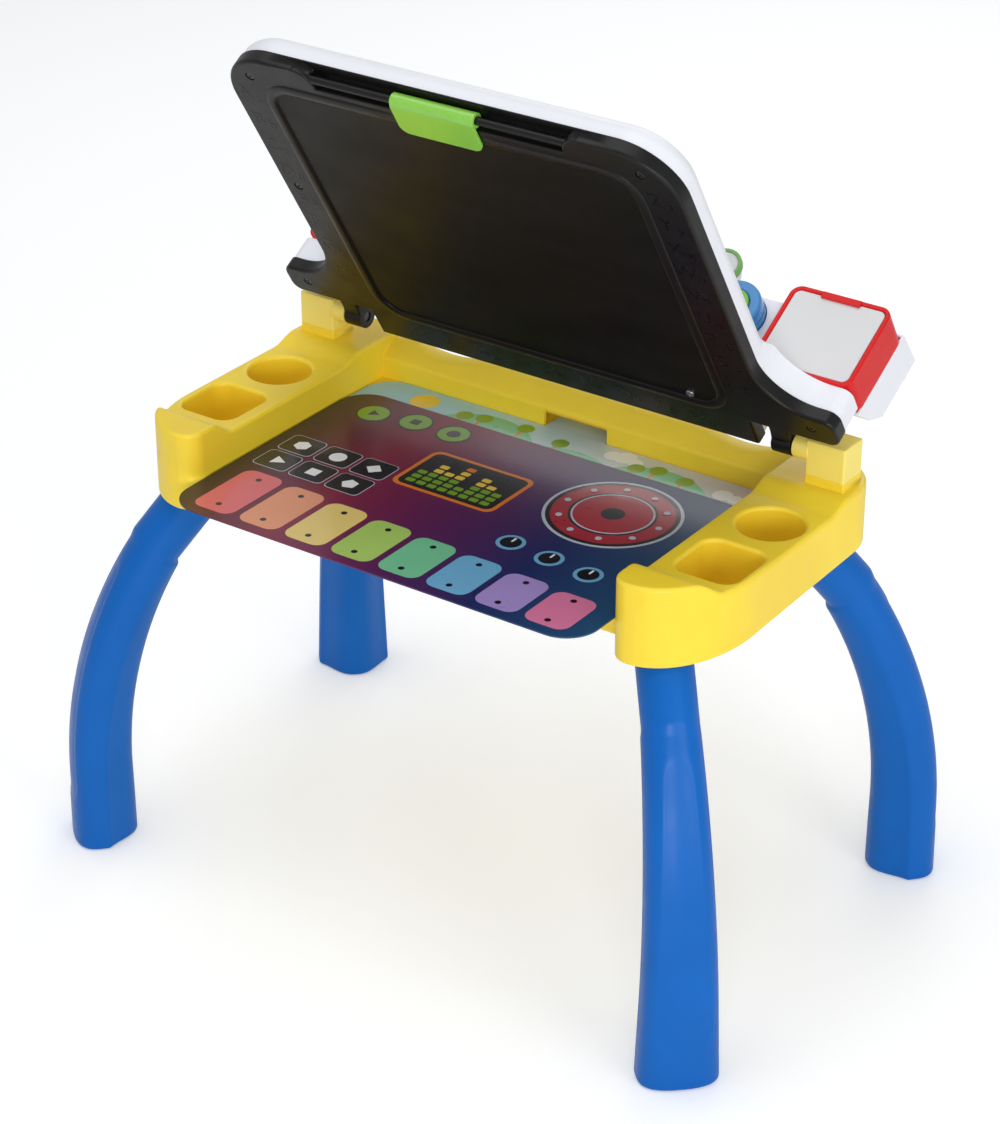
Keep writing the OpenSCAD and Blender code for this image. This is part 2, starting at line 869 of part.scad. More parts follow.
module hinge_post() {
    color("#ecd978")
        difference() {
            union() {
                slab(post_z, hinge_z)
                    post_plan();
                translate([0, hinge_y, hinge_z])
                    rod_x(barrel_r, barrel_in, flare_half_w);
            }
            translate([0, hinge_y, hinge_z])
                rod_x(pin_r, barrel_in - eps, post_in + pin_seat);
            post_screw_places()
                cylinder(r = screw_r, h = post_screw_l);
        }
}

module hinge_post_right() { hinge_post(); }
module hinge_post_left() { mirror([1, 0, 0]) hinge_post(); }

module hinge_pins() {
    color("#b8bcc2")
        both_sides()
            translate([0, hinge_y, hinge_z])
                rod_x(pin_r, lug_in + 1, post_in + pin_seat);
}

module post_screws() {
    color("#b8bcc2")
        both_sides()
            post_screw_places()
                screw_up(post_screw_l);
}

// Lid, drawn closed with the hinge axis at the origin and the desktop up

module at_lid() {
    translate([0, hinge_y, hinge_z])
        rotate([-lid_open, 0, 0])
            children();
}

module lid_plan(inset) {
    for (sx = [-1, 1])
        translate([sx * (lid_half_w - lid_corner_r), lid_corner_r - lid_len])
            circle(lid_corner_r - inset);
    translate([lid_corner_r - lid_half_w, inset - lid_len])
        square([2 * (lid_half_w - lid_corner_r), lid_len - flare_len]);
    translate([inset - lid_half_w, lid_corner_r - lid_len])
        square([2 * (lid_half_w - inset), lid_len - lid_corner_r - flare_start - inset]);
    translate([0, -(flare_len + flare_start) / 2])
        rounded_rect(2 * (flare_half_w - inset), flare_len - flare_start - 2 * inset, flare_tip_r - inset);
    translate([inset - heel_half_w, -flare_len])
        square([2 * (heel_half_w - inset), flare_len + heel_back - inset]);
    both_sides()
        difference() {
            translate([lid_half_w - inset - 1, -flare_len - sweep])
                square([sweep + inset + 1, sweep + inset + 1]);
            translate([lid_half_w + sweep, -flare_len - sweep])
                circle(sweep + inset);
        }
}

module lid_screw_places() {
    both_sides()
        for (p = lid_screws_at)
            translate([p[0], p[1], face_z + head_sink])
                children();
}

module board_plan(inset) {
    translate([0, -(board_near + board_far) / 2])
        rounded_rect(2 * (board_half_w - inset), board_far - board_near - 2 * inset, board_r - inset);
}

module notch_plan() {
    translate([-notch_half_w, -lid_len - 1])
        square([2 * notch_half_w, notch_depth + 1]);
    both_sides()
        difference() {
            translate([notch_half_w - 1, -lid_len - 1])
                square([notch_depth + 1, notch_depth + 1]);
            translate([notch_half_w + notch_depth, notch_depth - lid_len])
                circle(notch_depth);
        }
}

module hinge_lug() {
    rod_x(barrel_r, lug_in, lug_out);
    slab(face_z, split_z)
        translate([lug_in, -flare_start - 1])
            square([lug_w, flare_start + 1]);
}

module at_board_screw() {
    translate([board_screw_x, -board_screw_y, pocket_z - board_t])
        children();
}

module board_frame() {
    color("#2c2c2e")
        at_lid()
            difference() {
                union() {
                    difference() {
                        slab(face_z, split_z)
                            lid_plan(0);
                        slab(face_z + frame_plate, split_z + eps)
                            difference() {
                                lid_plan(lid_wall);
                                translate([-lid_half_w, -lid_len])
                                    square([2 * lid_half_w, rail_w]);
                            }
                    }
                    both_sides()
                        hinge_lug();
                }
                both_sides()
                    rod_x(pin_r + pin_fit, lug_in - eps, lug_out + eps);
                slab(face_z - eps, pocket_z)
                    board_plan(0);
                slab(face_z - eps, split_z - notch_back)
                    notch_plan();
                translate([0, bar_y, bar_z])
                    rod_x(bar_r, -bar_half_l, bar_half_l);
                lid_screw_places() {
                    translate([0, 0, -head_sink - eps])
                        cylinder(r = head_r + head_gap, h = head_sink + eps);
                    cylinder(r = screw_r, h = frame_h);
                }
                at_board_screw()
                    cylinder(r = screw_r, h = frame_plate);
            }
}

module chalkboard() {
    color("#1d1c1b")
        at_lid()
            difference() {
                slab(pocket_z - board_t, pocket_z)
                    board_plan(board_gap);
                at_board_screw()
                    translate([0, 0, -eps])
                        cylinder(r = screw_r, h = frame_plate);
            }
}

module board_screw() {
    color("#b8bcc2")
        at_lid()
            at_board_screw()
                screw_up(screw_l);
}

module lid_screws() {
    color("#3a3a3c")
        at_lid()
            lid_screw_places()
                screw_up(screw_l);
}

// Paper clip on its bar

module clip_bar() {
    color("#26262a")
        at_lid()
            translate([0, bar_y, bar_z])
                rod_x(bar_r, -bar_half_l, bar_half_l);
}

module clip_spring() {
    color("#b8bcc2")
        at_lid()
            translate([0, bar_y, bar_z])
                difference() {
                    rod_x(bar_r + spring_gap + spring_wire, -spring_l / 2, spring_l / 2);
                    rod_x(bar_r + spring_gap, -spring_l / 2 - eps, spring_l / 2 + eps);
                }
}

module paper_clip() {
    color("#72cc45")
        at_lid()
            difference() {
                union() {
                    translate([0, bar_y, bar_z])
                        rod_x(sleeve_r, -clip_w / 2, clip_w / 2);
                    slab(face_z - paper_gap - tongue_t, face_z - paper_gap)
                        translate([0, bar_y + tongue_l / 2]) {
                            rounded_rect(clip_w, tongue_l, tongue_r);
                            translate([-clip_w / 2, -tongue_l / 2])
                                square([clip_w, tongue_l - tongue_r]);
                        }
                }
                translate([0, bar_y, bar_z]) {
                    rod_x(bar_r + pin_fit, -clip_w / 2 - eps, clip_w / 2 + eps);
                    rod_x(bar_r + spring_wire + 2 * spring_gap, -spring_l / 2 - 0.5, spring_l / 2 + 0.5);
                }
            }
}

// Desktop

module panel_plan(inset) {
    translate([0, -(panel_near + panel_far) / 2])
        rounded_rect(2 * (panel_half_w - inset), panel_far - panel_near - 2 * inset, panel_r - inset);
}

// What lies outside the desktop's rounded edge: X inwards from the edge, Y up from the deck
module edge_cut(inset, beyond = 1) {
    difference() {
        translate([-beyond, -deck_edge_r])
            square([deck_edge_r + beyond, deck_edge_r + 1]);
        translate([deck_edge_r, -deck_edge_r])
            circle(1.02 * deck_edge_r - inset);
    }
}

module deck_edge_cuts(inset) {
    corner_y = lid_corner_r - lid_len;
    translate([0, shell_step - lid_len, deck_z])
        across(2 * (lid_half_w - lid_corner_r))
            edge_cut(inset);
    both_sides() {
        translate([lid_half_w - lid_corner_r, corner_y, deck_z])
            rotate([0, 0, -90])
                rotate_extrude(angle = 90)
                    translate([lid_corner_r - shell_step, 0])
                        mirror([1, 0])
                            edge_cut(inset);
        upright(corner_y, -flare_len - sweep)
            translate([lid_half_w - shell_step, deck_z])
                mirror([1, 0])
                    edge_cut(inset);
        translate([lid_half_w - shell_step, -flare_len - sweep, deck_z])
            rotate_extrude(angle = 180)
                edge_cut(inset, 0);
    }
}

module desktop_shell() {
    color("#eceef4")
        at_lid()
            difference() {
                union() {
                    difference() {
                        slab(split_z, deck_z)
                            lid_plan(shell_step);
                        difference() {
                            slab(split_z - eps, deck_z - lid_wall)
                                lid_plan(shell_step + lid_wall);
                            deck_edge_cuts(lid_wall);
                        }
                    }
                    lid_screw_places()
                        translate([0, 0, frame_h - head_sink])
                            cylinder(r = boss_r, h = shell_h - lid_wall / 2);
                    at_board_screw()
                        translate([0, 0, split_z - pocket_z + board_t])
                            cylinder(r = boss_r, h = shell_h - lid_wall / 2);
                }
                deck_edge_cuts(0);
                slab(deck_z - panel_t, deck_z + eps)
                    panel_plan(-panel_gap);
                slab(split_z, deck_z)
                    panel_plan(ledge_w);
                lid_screw_places()
                    cylinder(r = screw_r, h = screw_l);
                at_board_screw()
                    cylinder(r = screw_r, h = screw_l);
            }
}

module touch_panel() {
    color("#dfe6ea")
        at_lid()
            slab(deck_z - panel_t, deck_z)
                panel_plan(0);
}

module touch_sensor() {
    color("#c8b478")
        at_lid()
            slab(deck_z - panel_t - sensor_t, deck_z - panel_t)
                panel_plan(ledge_w + panel_gap);
}

// Console along the back of the desktop

function shell_side(top, rise) = [
    [-console_split, deck_z], [-console_split, top], [console_back, top + rise],
    [console_back, deck_z + heel_h], [belly_y, deck_z + belly_h]
];
function hollow_side(top, rise) = [
    [-console_split - 1, deck_z + console_wall], [-console_split - 1, top - console_wall],
    [inner_y, top + rise - console_wall], [inner_y, deck_z + heel_h + 1],
    [belly_y - 1, deck_z + belly_h + console_wall]
];

module console_screw_places() {
    for (p = console_screws_at)
        translate([p[0], console_back - screw_sink, deck_z + p[1]])
            rotate([90, 0, 0])
                children();
}

module door_plan(grow) {
    translate([-module_x, box_mid_z])
        rounded_rect(door_w + 2 * grow, box_in_h - 2 + 2 * grow, door_r);
}

module console_shell() {
    color("#eceef4")
        at_lid()
            difference() {
                union() {
                    difference() {
                        union() {
                            across(2 * console_half_w)
                                polygon(shell_side(fascia_top, 0));
                            both_sides()
                                translate([module_x, 0, 0])
                                    across(module_w)
                                        polygon(shell_side(console_top, console_rise));
                        }
                        across(2 * (console_half_w - console_wall))
                            polygon(hollow_side(fascia_top, 0));
                        both_sides()
                            translate([module_x, 0, 0])
                                across(module_w - 2 * console_wall)
                                    polygon(hollow_side(console_top, console_rise));
                    }
                    console_screw_places()
                        translate([0, 0, console_wall / 2])
                            cylinder(r = boss_r, h = console_boss_l);
                }
                upright(inner_y - eps, console_back + eps)
                    door_plan(door_gap);
                console_screw_places() {
                    cylinder(r = screw_r, h = console_screw_l);
                    translate([0, 0, -screw_sink - eps])
                        cylinder(r = head_r + head_gap, h = screw_sink + eps);
                }
            }
}

module fascia_plan(inset) {
    translate([inset - fascia_half_w, deck_z + inset])
        square([2 * (fascia_half_w - inset), fascia_h - 2 * inset]);
}

module handset_plan(grow) {
    for (x = [handset_left + handset_end_r, handset_right - handset_end_r])
        translate([x, handset_z])
            circle(handset_end_r + grow);
    translate([(handset_left + handset_right) / 2, handset_z])
        square([handset_l - 2 * handset_end_r, handset_grip + 2 * grow], center = true);
}

module dial_boss() {
    upright(dial_back_y, -console_split) {
        translate([dial_x, dial_z])
            circle(dial_boss_r);
        translate([dial_x - dial_boss_r, fascia_top - console_wall])
            square([2 * dial_boss_r, dial_z - fascia_top + console_wall]);
    }
}

module console_fascia() {
    color("#f1f2f6")
        at_lid()
            difference() {
                union() {
                    difference() {
                        upright(-fascia_front, -console_split)
                            fascia_plan(0);
                        upright(plate_in_y, eps - console_split)
                            fascia_plan(console_wall);
                    }
                    intersection() {
                        upright(plate_in_y - eps, cradle_y + console_wall)
                            handset_plan(cradle_gap + console_wall);
                        upright(-fascia_front, -console_split)
                            fascia_plan(0);
                    }
                    upright(plate_in_y - eps, -console_split)
                        translate([main_x - main_w / 2, main_z0])
                            square([main_w, rib_t]);
                    for (p = console_screws_at)
                        if (abs(p[0]) < fascia_half_w)
                            translate([p[0], 0, deck_z + p[1]])
                                rod_y(boss_r, plate_in_y, -console_split);
                    dial_boss();
                }
                upright(-fascia_front - eps, cradle_y)
                    handset_plan(cradle_gap);
                for (k = [-1:1])
                    translate([-key_x + k * key_pitch, 0, key_z])
                        rod_y(key_r + key_gap, -fascia_front - eps, plate_in_y + eps);
                upright(-fascia_front - eps, plate_in_y + eps)
                    translate([-switch_x + switch_travel / 2, switch_z])
                        square(switch_slot, center = true);
                translate([dial_x, 0, dial_z])
                    rod_y(dial_stem_r + pin_fit, dial_back_y - eps, eps - console_split);
                console_screw_places()
                    cylinder(r = screw_r, h = console_screw_l);
            }
}

module console_screws() {
    color("#b8bcc2")
        at_lid()
            console_screw_places()
                screw_up(console_screw_l);
}

module module_plan(w, h, r) {
    translate([module_x, module_mid_z])
        rounded_rect(w, h, r);
}

// The frame of the right module; the left one is its mirror image
module module_frame() {
    difference() {
        upright(-module_front, -console_split)
            module_plan(module_w, module_h, module_r);
        upright(-module_front - eps, module_ledge_y)
            module_plan(module_panel_w + 2 * panel_gap, module_panel_h + 2 * panel_gap, module_r - rim_w);
        upright(-module_front, module_inner_y + eps)
            module_plan(module_panel_w - 2 * rim_w, module_panel_h - 2 * rim_w, 2);
        upright(module_inner_y, eps - console_split)
            module_plan(module_w - 2 * console_wall, module_h - 2 * console_wall, module_r - console_wall);
    }
}

module module_boss() {
    translate([console_screws_at[2][0], 0, deck_z + console_screws_at[2][1]])
        rod_y(boss_r, module_inner_y + pcb_t, -console_split);
}

module pad_frame() {
    color("#e13030")
        at_lid()
            difference() {
                union() {
                    module_frame();
                    module_boss();
                }
                console_screw_places()
                    cylinder(r = screw_r, h = console_screw_l);
            }
}

module pad_panel() {
    color("#e4e4e4")
        at_lid()
            upright(module_panel_y, module_ledge_y)
                module_plan(module_panel_w, module_panel_h, module_r - rim_w);
}

module light_board() {
    color("#3f7a4a")
        at_lid()
            upright(module_inner_y, module_inner_y + pcb_t)
                module_plan(module_panel_w - rim_w, module_panel_h - rim_w, 1);
}

module speaker_frame() {
    color("#e13030")
        at_lid()
            mirror([1, 0, 0])
                module_frame();
}

module speaker_grille() {
    color("#e4e4e4")
        at_lid()
            mirror([1, 0, 0])
                difference() {
                    upright(module_panel_y, module_ledge_y)
                        module_plan(module_panel_w, module_panel_h, module_r - rim_w);
                    for (i = [-2:2])
                        for (k = [-2:2])
                            translate([module_x + i * grille_pitch, 0, module_mid_z + k * grille_pitch])
                                rod_y(grille_hole_r, module_panel_y - eps, module_ledge_y + eps);
                }
}

module speaker() {
    color("#4a4a4c")
        at_lid()
            translate([-module_x, 0, module_mid_z]) {
                rod_y(speaker_r, module_ledge_y, module_ledge_y + speaker_t / 2);
                rod_y(speaker_r / 2, module_ledge_y + speaker_t / 2 - eps, module_ledge_y + speaker_t);
            }
}

// Electronics inside the console

module main_board() {
    color("#3f7a4a")
        at_lid()
            upright(-console_split, pcb_t - console_split)
                translate([main_x - main_w / 2, main_z0])
                    square([main_w, main_h]);
}

module key_switches() {
    color("#4a4a4c")
        at_lid()
            for (k = [-1:1])
                translate([-key_x + k * key_pitch, 0, key_z])
                    rod_y(key_stem_r, -console_split - tact_h, -console_split);
}

module battery_box() {
    color("#d5d8de")
        at_lid()
            difference() {
                union() {
                    upright(box_floor_y - box_wall, inner_y)
                        translate([box_x, box_mid_z])
                            square([2 * (box_half_l + box_wall), box_in_h + 2 * box_wall], center = true);
                    upright(inner_y - box_wall, inner_y)
                        translate([-module_x, box_mid_z])
                            square([door_w + 2 * flange_w, box_in_h + 2 * box_wall], center = true);
                    translate([door_screw_x, 0, box_mid_z])
                        rod_y(boss_r, inner_y - screw_l, inner_y);
                }
                upright(box_floor_y, inner_y + eps)
                    translate([box_x, box_mid_z])
                        square([2 * box_half_l, box_in_h], center = true);
                at_door_screw()
                    cylinder(r = screw_r, h = screw_l);
            }
}

module battery_cells() {
    color("#5a6672")
        at_lid()
            for (k = [-1:1])
                translate([box_x, box_floor_y + cell_r + cell_clear, box_mid_z + k * cell_pitch])
                    rod_x(cell_r, -cell_l / 2, cell_l / 2);
}

module battery_contacts() {
    color("#c9ccd2")
        at_lid()
            for (sx = [-1, 1])
                for (k = [-1:1])
                    translate([box_x, box_floor_y + cell_r, box_mid_z + k * cell_pitch])
                        translate([sx * (box_half_l - contact_t / 2), 0, 0])
                            cube([contact_t, cell_r, cell_r], center = true);
}

module at_door_screw() {
    translate([door_screw_x, console_back, box_mid_z])
        rotate([90, 0, 0])
            children();
}

module battery_door() {
    color("#e4e6ec")
        at_lid()
            difference() {
                upright(inner_y, console_back)
                    door_plan(0);
                at_door_screw()
                    translate([0, 0, -eps])
                        cylinder(r = screw_r, h = 2 * console_wall);
            }
}

module door_screw() {
    color("#b8bcc2")
        at_lid()
            at_door_screw()
                screw_up(screw_l);
}

// Handset, dial, keys and switch

module handset_shell() {
    color("#2f80bd")
        at_lid()
            difference() {
                upright(handset_top_y, handset_mid_y)
                    handset_plan(0);
                handset_pad_places()
                    rod_y(ear_r, handset_top_y - eps, handset_top_y + ear_t);
            }
}

module handset_pad_places() {
    for (x = [handset_left + handset_end_r, handset_right - handset_end_r])
        translate([x, 0, handset_z])
            children();
}

module handset_back() {
    color("#2a74ad")
        at_lid()
            upright(handset_mid_y, handset_y)
                handset_plan(0);
}

module handset_pads() {
    color("#79b63a")
        at_lid()
            handset_pad_places()
                rod_y(ear_r, handset_top_y - ear_proud, handset_top_y + ear_t);
}

module dial_ring() {
    color("#77a85a")
        at_lid()
            translate([dial_x, 0, dial_z])
                difference() {
                    rod_y(dial_r, dial_back_y - dial_gap - dial_t, dial_back_y - dial_gap);
                    rod_y(dial_r - dial_rim, dial_back_y - dial_gap - dial_t - eps, dial_back_y);
                }
}

module dial_face() {
    color("#dfe2e2")
        at_lid()
            translate([dial_x, 0, dial_z]) {
                rod_y(dial_r - dial_rim, dial_back_y - dial_gap - dial_t + 1, dial_back_y - dial_gap);
                rod_y(dial_stem_r, dial_back_y - dial_gap - eps, -console_split - 1);
            }
}

module key_at(k) {
    at_lid()
        translate([-key_x + k * key_pitch, 0, key_z]) {
            rod_y(key_r, -fascia_front - key_proud, plate_in_y + key_slack + eps);
            rod_y(key_r + key_flange, plate_in_y + key_slack, plate_in_y + key_slack + key_flange_t);
            rod_y(key_stem_r, plate_in_y + key_slack, -console_split - tact_h - key_travel - key_slack);
        }
}

module key_left() { color("#e13030") key_at(-1); }
module key_middle() { color("#f2d03b") key_at(0); }
module key_right() { color("#2f80bd") key_at(1); }

module power_knob() {
    color("#79b63a")
        at_lid()
            translate([-switch_x, 0, switch_z]) {
                upright(-fascia_front - key_proud, -fascia_front - key_slack)
                    square(switch_cap, center = true);
                upright(-fascia_front - key_slack - eps, plate_in_y + key_slack + eps)
                    square([switch_neck_w, switch_neck_h], center = true);
                upright(plate_in_y + key_slack, plate_in_y + key_slack + key_flange_t)
                    square(switch_cap, center = true);
            }
}

// Drawing of the chosen node

tray_shell();
hinge_post_left();
hinge_post_right();
hinge_pins();
post_screws();
leg_front_left();
leg_front_right();
leg_rear_left();
leg_rear_right();
leg_screws();
picture_card();
music_card();
board_frame();
chalkboard();
board_screw();
lid_screws();
clip_bar();
clip_spring();
paper_clip();
desktop_shell();
touch_panel();
touch_sensor();
console_shell();
console_fascia();
console_screws();
pad_frame();
pad_panel();
light_board();
speaker_frame();
speaker_grille();
speaker();
main_board();
key_switches();
battery_box();
battery_cells();
battery_contacts();
battery_door();
door_screw();
handset_shell();
handset_back();
handset_pads();
dial_ring();
dial_face();
key_left();
key_middle();
key_right();
power_knob();
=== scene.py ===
# %% [markdown]
# # A child's learning desk
#
# The desk is a yellow tray on four blue arched legs. Its lid turns on two hinge posts. One side
# of the lid is a chalkboard, and the other is a desktop with an electronic console. The solids
# come from a CAD model, which fixes every size and joint, and this lesson gives them their looks.
#
# Everything is in metres, in the CAD model's own frame: +X to the child's right, +Y to the
# hinges, +Z up, and the origin on the floor.

# %% Load the CAD frame
import json
import math

import bmesh
import bpy
from mathutils import Matrix, Vector
from mathutils.kdtree import KDTree


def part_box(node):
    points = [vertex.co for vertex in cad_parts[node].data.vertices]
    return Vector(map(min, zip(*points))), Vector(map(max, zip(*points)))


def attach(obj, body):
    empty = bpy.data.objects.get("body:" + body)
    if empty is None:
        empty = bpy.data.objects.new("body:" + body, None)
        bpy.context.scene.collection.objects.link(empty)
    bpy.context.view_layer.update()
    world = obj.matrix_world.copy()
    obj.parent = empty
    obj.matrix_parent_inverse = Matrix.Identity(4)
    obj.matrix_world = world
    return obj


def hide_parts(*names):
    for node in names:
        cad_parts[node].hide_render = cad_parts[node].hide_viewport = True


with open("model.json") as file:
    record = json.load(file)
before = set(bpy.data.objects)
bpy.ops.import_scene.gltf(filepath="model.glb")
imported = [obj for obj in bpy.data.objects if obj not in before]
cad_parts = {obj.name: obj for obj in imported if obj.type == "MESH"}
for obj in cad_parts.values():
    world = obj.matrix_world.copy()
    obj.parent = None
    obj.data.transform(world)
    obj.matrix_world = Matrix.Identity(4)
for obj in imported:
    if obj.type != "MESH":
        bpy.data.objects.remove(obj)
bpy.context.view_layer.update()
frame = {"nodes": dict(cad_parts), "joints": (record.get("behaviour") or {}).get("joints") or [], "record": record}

MM = 0.001

# %% [markdown]
# ## The camera
#
# The camera was fitted to the photograph: its place, its two angles and its lens. A long lens
# from about two and a half metres away keeps the legs nearly parallel. The camera is made first,
# so that every later piece can be judged from the same spot.

# %% Set the camera
CAMERA_AT = (1.2023, -1.7019, 1.3875)
CAMERA_AZIMUTH = math.radians(35.2)
CAMERA_ELEVATION = math.radians(28.54)
CAMERA_LENS = 101.1

bpy.ops.object.select_all(action="DESELECT")
bpy.ops.object.camera_add(
    location=CAMERA_AT,
    rotation=(math.pi / 2 - CAMERA_ELEVATION, 0, CAMERA_AZIMUTH),
)
camera = bpy.context.object
camera.data.lens = CAMERA_LENS
camera.data.sensor_width = 36
bpy.context.scene.camera = camera
bpy.context.scene.view_settings.view_transform = "Standard"
print("camera at", CAMERA_AT)

# %% [markdown]
# ## The studio
#
# A product photograph has light from all round and one lamp low beside the camera. The world
# gives the light from all round. The low lamp makes the upright faces brighter than the tops and
# leaves the wells in shade, a wide one on the right lights the faces that look that way, and one
# overhead softens the shadows.

# %% Light the studio
AIM = Vector((0, 0, 0.35))
WORLD_LIGHT = 0.52
WORLD_SEEN = 1.0


def soft_lamp(name, place, power, size):
    """A square lamp of that size that looks at the desk."""
    turn = (AIM - Vector(place)).to_track_quat("-Z", "Y").to_euler()
    bpy.ops.object.light_add(type="AREA", location=place, rotation=turn)
    lamp = bpy.context.object
    lamp.name = name
    lamp.data.energy = power
    lamp.data.size = size
    return lamp


soft_lamp("lamp_key", (1.54, -2.05, 0.85), power=17, size=0.8)
soft_lamp("lamp_right", (2.3, -0.7, 1.0), power=12, size=1.2)
soft_lamp("lamp_above", (-0.4, -0.3, 2.4), power=14, size=1.8)
soft_lamp("lamp_behind", (-0.6, 2.0, 1.6), power=9, size=1.5)

world = bpy.data.worlds.new("studio")
bpy.context.scene.world = world
world.use_nodes = True
background = world.node_tree.nodes["Background"]
background.inputs["Color"].default_value = (1, 1, 1, 1)
add_node = world.node_tree.nodes.new
paths = add_node("ShaderNodeLightPath")
direct = add_node("ShaderNodeMath")
direct.operation = "MAXIMUM"
strength = add_node("ShaderNodeMapRange")
strength.inputs["To Min"].default_value = WORLD_LIGHT
strength.inputs["To Max"].default_value = WORLD_SEEN
wire = world.node_tree.links.new
wire(paths.outputs["Is Camera Ray"], direct.inputs[0])
wire(paths.outputs["Is Transmission Ray"], direct.inputs[1])
wire(direct.outputs["Value"], strength.inputs["Value"])
wire(strength.outputs["Result"], background.inputs["Strength"])
print(len(bpy.data.lights), "lamps")

# %% [markdown]
# The floor is white paper. It takes the shadows, and for the camera alone it glows a little, so
# that the background comes out white without any more light on the desk.

# %% Lay the floor
FLOOR_WIDTH = 14
FLOOR_GLOW = 0.25

bpy.ops.object.select_all(action="DESELECT")
bpy.ops.mesh.primitive_plane_add(size=FLOOR_WIDTH)
floor = bpy.context.object
floor.name = "studio_floor"
paper = bpy.data.materials.new("studio_paper")
paper.use_nodes = True
paper_shader = paper.node_tree.nodes["Principled BSDF"]
paper_shader.inputs["Base Color"].default_value = (0.93, 0.93, 0.93, 1)
paper_shader.inputs["Roughness"].default_value = 0.9
paper_shader.inputs["Emission Color"].default_value = (0.88, 0.94, 1, 1)
seen = paper.node_tree.nodes.new("ShaderNodeLightPath")
glow = paper.node_tree.nodes.new("ShaderNodeMath")
glow.operation = "MULTIPLY"
glow.inputs[1].default_value = FLOOR_GLOW
paper.node_tree.links.new(seen.outputs["Is Camera Ray"], glow.inputs[0])
paper.node_tree.links.new(glow.outputs["Value"], paper_shader.inputs["Emission Strength"])
floor.data.materials.append(paper)
print("floor", FLOOR_WIDTH, "m wide")

# %% [markdown]
# ## Finishes
#
# Most of the desk is injection-moulded plastic. Moulded plastic is never one flat colour: it has
# a fine grain from the mould, its gloss drifts a little, and its colour is slightly uneven. One
# function makes all the plastics from a colour and a few numbers, with three noise textures on
# Object coordinates, so the grain has the same real size on every piece.

# %% Tools for finishes
def linear(red, green, blue):
    """A colour given from 0 to 255, as the shader wants it."""
    def one(value):
        share = value / 255
        return share / 12.92 if share <= 0.04045 else ((share + 0.055) / 1.055) ** 2.4
    return (one(red), one(green), one(blue), 1)


def shade(colour, factor):
    return tuple(min(1, channel * factor) for channel in colour[:3]) + (1,)


def fill(node, values):
    """Set a node's inputs. An underscore stands for a space in an input's name."""
    for name, value in values.items():
        node.inputs[name.replace("_", " ")].default_value = value


class Finish:
    """A material with its shader at hand, and short ways to add nodes."""

    def __init__(self, name, roughness):
        self.name = name
        self.material = bpy.data.materials.new(name)
        self.material.use_nodes = True
        self.nodes = self.material.node_tree.nodes
        self.shader = self.nodes["Principled BSDF"]
        self.set(Roughness=roughness)
        self.place = self.nodes.new("ShaderNodeTexCoord").outputs["Object"]

    def link(self, output, socket):
        self.material.node_tree.links.new(output, socket)

    def set(self, **values):
        fill(self.shader, values)

    def node(self, kind, **values):
        made = self.nodes.new("ShaderNode" + kind)
        fill(made, values)
        return made

    def noise(self, scale, detail=2.0, place=None):
        texture = self.node("TexNoise", Scale=scale, Detail=detail)
        self.link(place or self.place, texture.inputs["Vector"])
        return texture.outputs["Fac"]

    def stretch(self, value, start, end, low=0, high=1):
        """A value that ran from start to end, made to run from low to high."""
        change = self.node("MapRange", From_Min=start, From_Max=end, To_Min=low, To_Max=high)
        self.link(value, change.inputs["Value"])
        return change.outputs["Result"]

    def spread(self, noise, low=0, high=1):
        """The middle of a noise, stretched from low to high."""
        return self.stretch(noise, 0.3, 0.7, low, high)

    def mix(self, factor, first, second):
        blend = self.node("Mix")
        blend.data_type = "RGBA"
        self.link(factor, blend.inputs[0])
        for socket, value in ((blend.inputs[6], first), (blend.inputs[7], second)):
            if isinstance(value, tuple):
                socket.default_value = value
            else:
                self.link(value, socket)
        return blend.outputs[2]

    def colour(self, output):
        self.link(output, self.shader.inputs["Base Color"])

    def grain(self, height, strength, depth):
        bump = self.node("Bump", Strength=strength, Distance=depth)
        self.link(height, bump.inputs["Height"])
        self.link(bump.outputs["Normal"], self.shader.inputs["Normal"])


# %% Make the plastics
PATCH_SCALE = 14
GLOSS_SCALE = 55
GRAIN_SCALE = 1600
GRAIN_DEPTH = 0.0001


def plastic(name, colour, roughness, grain=0.12, coat=0.0, drift=0.05, shine=0.5):
    """Moulded plastic: uneven colour, drifting gloss and a fine grain."""
    finish = Finish(name, roughness)
    patches = finish.spread(finish.noise(PATCH_SCALE, 3))
    finish.colour(finish.mix(patches, shade(colour, 1 - drift), shade(colour, 1 + drift)))
    gloss = finish.spread(finish.noise(GLOSS_SCALE), roughness - 0.05, roughness + 0.06)
    finish.link(gloss, finish.shader.inputs["Roughness"])
    finish.grain(finish.noise(GRAIN_SCALE, 3), grain, GRAIN_DEPTH)
    finish.set(Coat_Weight=coat, Coat_Roughness=0.08, Specular_IOR_Level=shine)
    return finish


